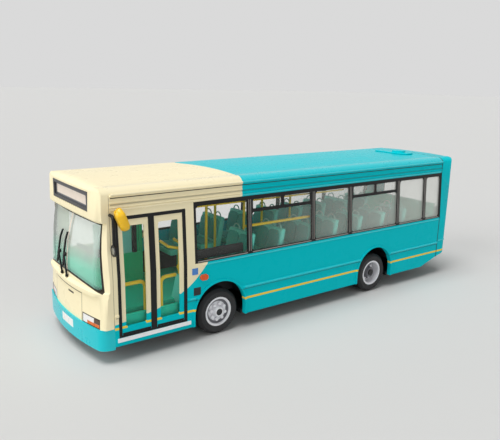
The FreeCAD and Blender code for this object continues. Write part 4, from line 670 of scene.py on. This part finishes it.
leaf_enamel = finish("leaf_enamel", cream, colour_from=leaf_colours, **enamel)
step_white = finish("step_white", (248, 248, 250), 0.4)
dress(trim_black, "door_frame")
dress(leaf_enamel, "door_leaf_front", "door_leaf_rear")
dress(step_white, "door_step")
# A black strip under each leaf stands in for the shade in the gap above the step.
gap_shade_strips = bmesh.new()
for low_x, high_x in ((37.8, 44.3), (45.9, 52.4)):
    add_box(gap_shade_strips, (low_x, 15.4, 5.98), (high_x, 15.65, 6.45))
piece_from(gap_shade_strips, "door_foot_gap_shade", trim_black, "bus_body")


# Rear moulding: plastic, sprayed aqua like the shell, with the yellow line carried round it.
# It holds the rear window in a black rubber ring and the engine flap with its louvres.

ring_black = (30, 31, 33)


def end_colours(tree, position):
    """Aqua with the yellow line, the dark joint and the rubber ring of the rear window."""
    rear_joint, face_x = (-53.66, -53.3), -58.5
    ring_half_width, ring_foot, ring_top = 11.75, 19.9, 32.1
    x, y, z = places(tree, position)
    painted = choose(tree, between(tree, z, line_low, line_high), aqua, line_yellow)
    joint = between(tree, x, *rear_joint)
    width = calculate(tree, "ABSOLUTE", y)
    ring = all_of(tree, below(tree, x, face_x), below(tree, width, ring_half_width),
                  between(tree, z, ring_foot, ring_top))
    return choose(tree, any_of(tree, joint, ring), painted, ring_black)


end_enamel = finish("end_enamel", aqua, colour_from=end_colours, **enamel)
dress(end_enamel, "rear_moulding")
smooth_copy("rear_moulding", end_enamel, "bus_body")
dress(aqua_enamel, "engine_flap")
louvre_height = 0.28
louvres = bmesh.new()
for height in (10.0, 10.7, 11.4, 12.1, 12.8, 13.5):
    add_box(louvres, (-58.75, -8.6, height), (-58.6, 8.6, height + louvre_height))
piece_from(louvres, "flap_louvres", base_plastic, "bus_body")
plate_white = finish("plate_white", (232, 232, 226), 0.4)
rear_plate = bmesh.new()
add_box(rear_plate, (-58.85, -4.2, 15.2), (-58.62, 4.2, 17.2), 0.05)
piece_from(rear_plate, "rear_plate", plate_white, "bus_body")


# Front moulding: plastic, sprayed cream and glued to the shell, with the destination box in
# its dome. Fine joints mark the nose panel and the lamp openings, and a black rubber ring
# holds the windscreen.

def screen_gap(tree, y, z):
    """How far a place lies inside the windscreen opening, negative outside it."""
    sill_half_width, sill_height, side_taper = 14.55, 16.05, 0.077
    foot_height, foot_bow, head_height = 17.2, -0.0063, 29.7
    width = calculate(tree, "ABSOLUTE", y)
    rise = calculate(tree, "SUBTRACT", z, sill_height)
    side = calculate(tree, "SUBTRACT", sill_half_width,
                     calculate(tree, "MULTIPLY", rise, side_taper))
    bow = calculate(tree, "MULTIPLY", calculate(tree, "MULTIPLY", y, y), foot_bow)
    foot = calculate(tree, "ADD", bow, foot_height)
    nearest = calculate(tree, "MINIMUM", calculate(tree, "SUBTRACT", side, width),
                        calculate(tree, "SUBTRACT", z, foot))
    return calculate(tree, "MINIMUM", nearest, calculate(tree, "SUBTRACT", head_height, z))


def nose_colours(tree, position):
    """Cream with dark joints round the nose panel, its slot, the lamps and the windscreen."""
    ring_width, ring_from = 0.3, 54.6
    seam_x, seam_top, seam_tone = (54.0, 54.32), 35.6, 0.6
    panel_head, panel_half_width = (13.95, 14.1), 7.75
    panel_side, panel_z = (7.68, 7.82), (7.8, 14.05)
    slot_y, slot_z = (1.2, 4.0), (12.75, 13.15)
    lamp_width, lamp_z, lamp_from = (8.0, 14.5), (7.85, 10.0), 55.6
    x, y, z = places(tree, position)
    width = calculate(tree, "ABSOLUTE", y)
    reach = calculate(tree, "ADD", screen_gap(tree, y, z), ring_width)
    ring = all_of(tree, edge(tree, reach), above(tree, x, ring_from))
    seam = all_of(tree, between(tree, x, *seam_x), below(tree, z, seam_top))
    joint = calculate(tree, "MULTIPLY", seam, seam_tone)
    head = all_of(tree, between(tree, z, *panel_head), below(tree, width, panel_half_width))
    sides = all_of(tree, between(tree, width, *panel_side), between(tree, z, *panel_z))
    panel = any_of(tree, head, sides)
    slot = all_of(tree, between(tree, y, *slot_y), between(tree, z, *slot_z))
    lamp = all_of(tree, between(tree, width, *lamp_width), between(tree, z, *lamp_z),
                  above(tree, x, lamp_from))
    return choose(tree, any_of(tree, ring, joint, panel, slot, lamp), cream, joint_and_shadow_dark)


nose_enamel = finish("nose_enamel", cream, colour_from=nose_colours, **enamel)
divider_cream = finish("divider_cream", (226, 214, 196), 0.3)
dress(nose_enamel, "front_moulding")
smooth_copy("front_moulding", nose_enamel, "bus_body")
dress(divider_cream, "windscreen_divider")


# Windscreen: two clear moulded panes with a thin black printed edge, held in the black rubber
# ring. The plastic shows aqua low down, over the dash, and paler above.

screen_low = (170, 250, 224)
screen_high = (230, 240, 230)
print_black = (34, 32, 32)


def screen_print(tree, position):
    """1 on the printed edge, just inside the rubber ring."""
    print_width = 0.18
    _, y, z = places(tree, position)
    return below(tree, screen_gap(tree, y, z), print_width)


def screen_colours(tree, position):
    """Aqua that pales upwards, with the black printed edge."""
    pale_from, pale_over = 19.5, 4.0
    _, _, z = places(tree, position)
    height = calculate(tree, "DIVIDE", calculate(tree, "SUBTRACT", z, pale_from), pale_over)
    tint = choose(tree, held_to_share(tree, height), screen_low, screen_high)
    return choose(tree, screen_print(tree, position), tint, print_black)


screen_clear = clear_finish("windscreen_clear", (226, 242, 236), 0.1, 0.4, screen_colours,
                            screen_print)
dress(screen_clear, "windscreen")
smooth_copy("windscreen", screen_clear, "bus_body")


# Wipers: black plastic arms glued to the ledge under the windscreen, leaning over the glass.
# Each has a raised knuckle at its middle.

dress(trim_black, "wipers")
knuckle_x, knuckle_z, knuckle_radius = 58.25, 20.6, 0.55
knuckles = bmesh.new()
for knuckle_y in (-3.75, -0.36):
    bmesh.ops.create_uvsphere(
        knuckles, u_segments=12, v_segments=8, radius=knuckle_radius * mm,
        matrix=Matrix.Translation(Vector((knuckle_x, knuckle_y, knuckle_z)) * mm)
        @ Matrix.Diagonal((0.6, 0.8, 1, 1)))
piece_from(knuckles, "wiper_knuckles", trim_black, "bus_body")


# Destination display: a dark grey bevelled surround and a clear block whose back carries the
# blank pale blind, printed with a grey border.

blind_pale = (242, 226, 208)
border_grey = (104, 106, 110)


def blind_colours(tree, position):
    """The pale blind inside its grey border."""
    blind_half_width, blind_foot, blind_top = 8.7, 32.95, 34.85
    _, y, z = places(tree, position)
    width = calculate(tree, "ABSOLUTE", y)
    inner = all_of(tree, below(tree, width, blind_half_width),
                   between(tree, z, blind_foot, blind_top))
    return choose(tree, inner, border_grey, blind_pale)


frame_grey = finish("frame_grey", (60, 60, 63), 0.4)
blind_print = finish("blind_print", blind_pale, 0.12, colour_from=blind_colours)
dress(frame_grey, "destination_frame")
dress(blind_print, "destination_glass")


# Lamps: headlamps and corner lamps let into the nose, clear with an orange strip below and
# painted shade of the recess on the outer corner, orange repeaters on the sides and red clusters
# at the back. All are small plastic mouldings, pushed in from outside.

lens_clear = (238, 236, 234)
strip_orange = (222, 104, 20)
recess_shade_brown = (84, 62, 46)


def lamp_colours(tree, position):
    """Clear lens, orange strip along its foot and brown painted shade on the outer corner over
    it.
    """
    strip_top, strip_from, recess_shade_from = 8.75, 9.9, 12.4
    _, y, z = places(tree, position)
    width = calculate(tree, "ABSOLUTE", y)
    strip = all_of(tree, below(tree, z, strip_top), above(tree, width, strip_from))
    # The brown outer corner is painted shade of the lamp recess.
    corner = all_of(tree, above(tree, z, strip_top), above(tree, width, recess_shade_from))
    return choose(tree, corner, choose(tree, strip, lens_clear, strip_orange), recess_shade_brown)


lens_front = finish("lens_front", lens_clear, 0.12, colour_from=lamp_colours)
lens_orange = finish("lens_orange", (226, 84, 12), 0.2)
lens_red = finish("lens_red", (168, 20, 16), 0.2)
dress(lens_front, "headlamps", "front_indicators")
dress(lens_orange, "side_lamp_left", "side_lamp_right")
dress(lens_red, "rear_lamps_left", "rear_lamps_right")


# Bumper: a plastic band sprayed aqua and glued on under the nose, glossier than the body.
# A blank white number plate is let in flush.

def bumper_colours(tree, position):
    """Aqua with the white plate on its front face."""
    plate_y, plate_z, plate_from = (-2.2, 4.1), (5.1, 6.95), 57.9
    x, y, z = places(tree, position)
    plate = all_of(tree, between(tree, y, *plate_y), between(tree, z, *plate_z),
                   above(tree, x, plate_from))
    return choose(tree, plate, aqua, (240, 240, 236))


glossier = dict(enamel, shine=0.4)
bumper_enamel = finish("bumper_enamel", aqua, colour_from=bumper_colours, **glossier)
dress(bumper_enamel, "front_bumper")
smooth_copy("front_bumper", bumper_enamel, "bus_body")


# Mirrors: yellow plastic heads on black arms, with a round black mirror under each.
# The mirror faces are bright foil.

mirror_yellow = finish("mirror_yellow", (244, 192, 18), 0.3)
foil = finish("foil", (150, 154, 158), 0.12, metallic=0.8)
dress(mirror_yellow, "mirror_head_left", "mirror_head_right")
dress(trim_black, "mirror_arm_left", "mirror_arm_right", "near_mirror_left", "near_mirror_right")
foil_radius, foil_proud = 0.72, 0.06
for side in ("left", "right"):
    smooth_copy(f"mirror_head_{side}", mirror_yellow, "bus_body", sharp=60,
                round_off=0.35)
for side in ("left", "right"):
    low, high = [corner / mm for corner in map(Vector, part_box(f"near_mirror_{side}"))]
    glass = bmesh.new()
    add_round(glass, (low + high) / 2, foil_radius, high.x - low.x + foil_proud, 24, "X")
    piece_from(glass, f"near_mirror_glass_{side}", foil, "bus_body")


# Studio: a pale floor under a world of the same tone, a large soft lamp above the model and
# weaker ones ahead of it and on the door side. The world is brighter where it is seen than
# where it lights the model.

floor_half_width = 4
floor_pale = bpy.data.materials.new("floor_pale")
floor_pale.use_nodes = True
floor_shader = floor_pale.node_tree.nodes["Principled BSDF"]
floor_shader.inputs["Base Color"].default_value = (0.62, 0.62, 0.61, 1)
floor_shader.inputs["Roughness"].default_value = 0.8
sheet = bmesh.new()
bmesh.ops.create_grid(sheet, x_segments=1, y_segments=1, size=floor_half_width)
data = bpy.data.meshes.new("floor")
sheet.to_mesh(data)
sheet.free()
data.materials.append(floor_pale)
floor = bpy.data.objects.new("floor", data)
bpy.context.collection.objects.link(floor)


def soft_sun(name, toward, strength, spread):
    """A broad soft light that falls evenly on model and floor from the named direction."""
    light = bpy.data.lights.new(name, "SUN")
    light.energy = strength
    light.angle = math.radians(spread)
    lamp = bpy.data.objects.new(name, light)
    lamp.location = Vector(toward)
    lamp.rotation_euler = Vector(toward).to_track_quat("Z", "Y").to_euler()
    bpy.context.collection.objects.link(lamp)
    return lamp


overhead = soft_sun("overhead_lamp", (0.3, 0.05, 1.0), 2.18, 36)
front_lamp = soft_sun("front_lamp", (1.0, 0.0, 0.45), 1.1, 40)
side_lamp = soft_sun("side_lamp", (0.15, 1.0, 0.3), 0.42, 40)
world_light, seen_extra = 0.25, 0.45
world = bpy.data.worlds.new("studio")
bpy.context.scene.world = world
world.use_nodes = True
world_tree = world.node_tree
background = world_tree.nodes["Background"]
background.inputs["Color"].default_value = (1, 1, 1, 1)
rays = world_tree.nodes.new("ShaderNodeLightPath")
seen = any_of(world_tree, rays.outputs["Is Camera Ray"], rays.outputs["Is Transmission Ray"],
              rays.outputs["Is Glossy Ray"])
extra = calculate(world_tree, "MULTIPLY", seen, seen_extra)
world_tree.links.new(calculate(world_tree, "ADD", extra, world_light),
                     background.inputs["Strength"])


# Camera: at the photograph's place, above the near front corner of the door side, with the
# lens and shift fitted to the photograph.

view = bpy.data.cameras.new("view")
view.sensor_width = 36
view.lens = 41.57
view.shift_x = 0.001
view.shift_y = 0.01534
view.clip_start = 0.01
view.clip_end = 10
camera = bpy.data.objects.new("camera", view)
camera.location = (98.64 * mm, 120.31 * mm, 57.66 * mm)
camera.rotation_euler = [math.radians(angle) for angle in (75.9525, -1.2573, 143.4045)]
bpy.context.collection.objects.link(camera)
scene = bpy.context.scene
scene.camera = camera
scene.view_settings.view_transform = "Standard"
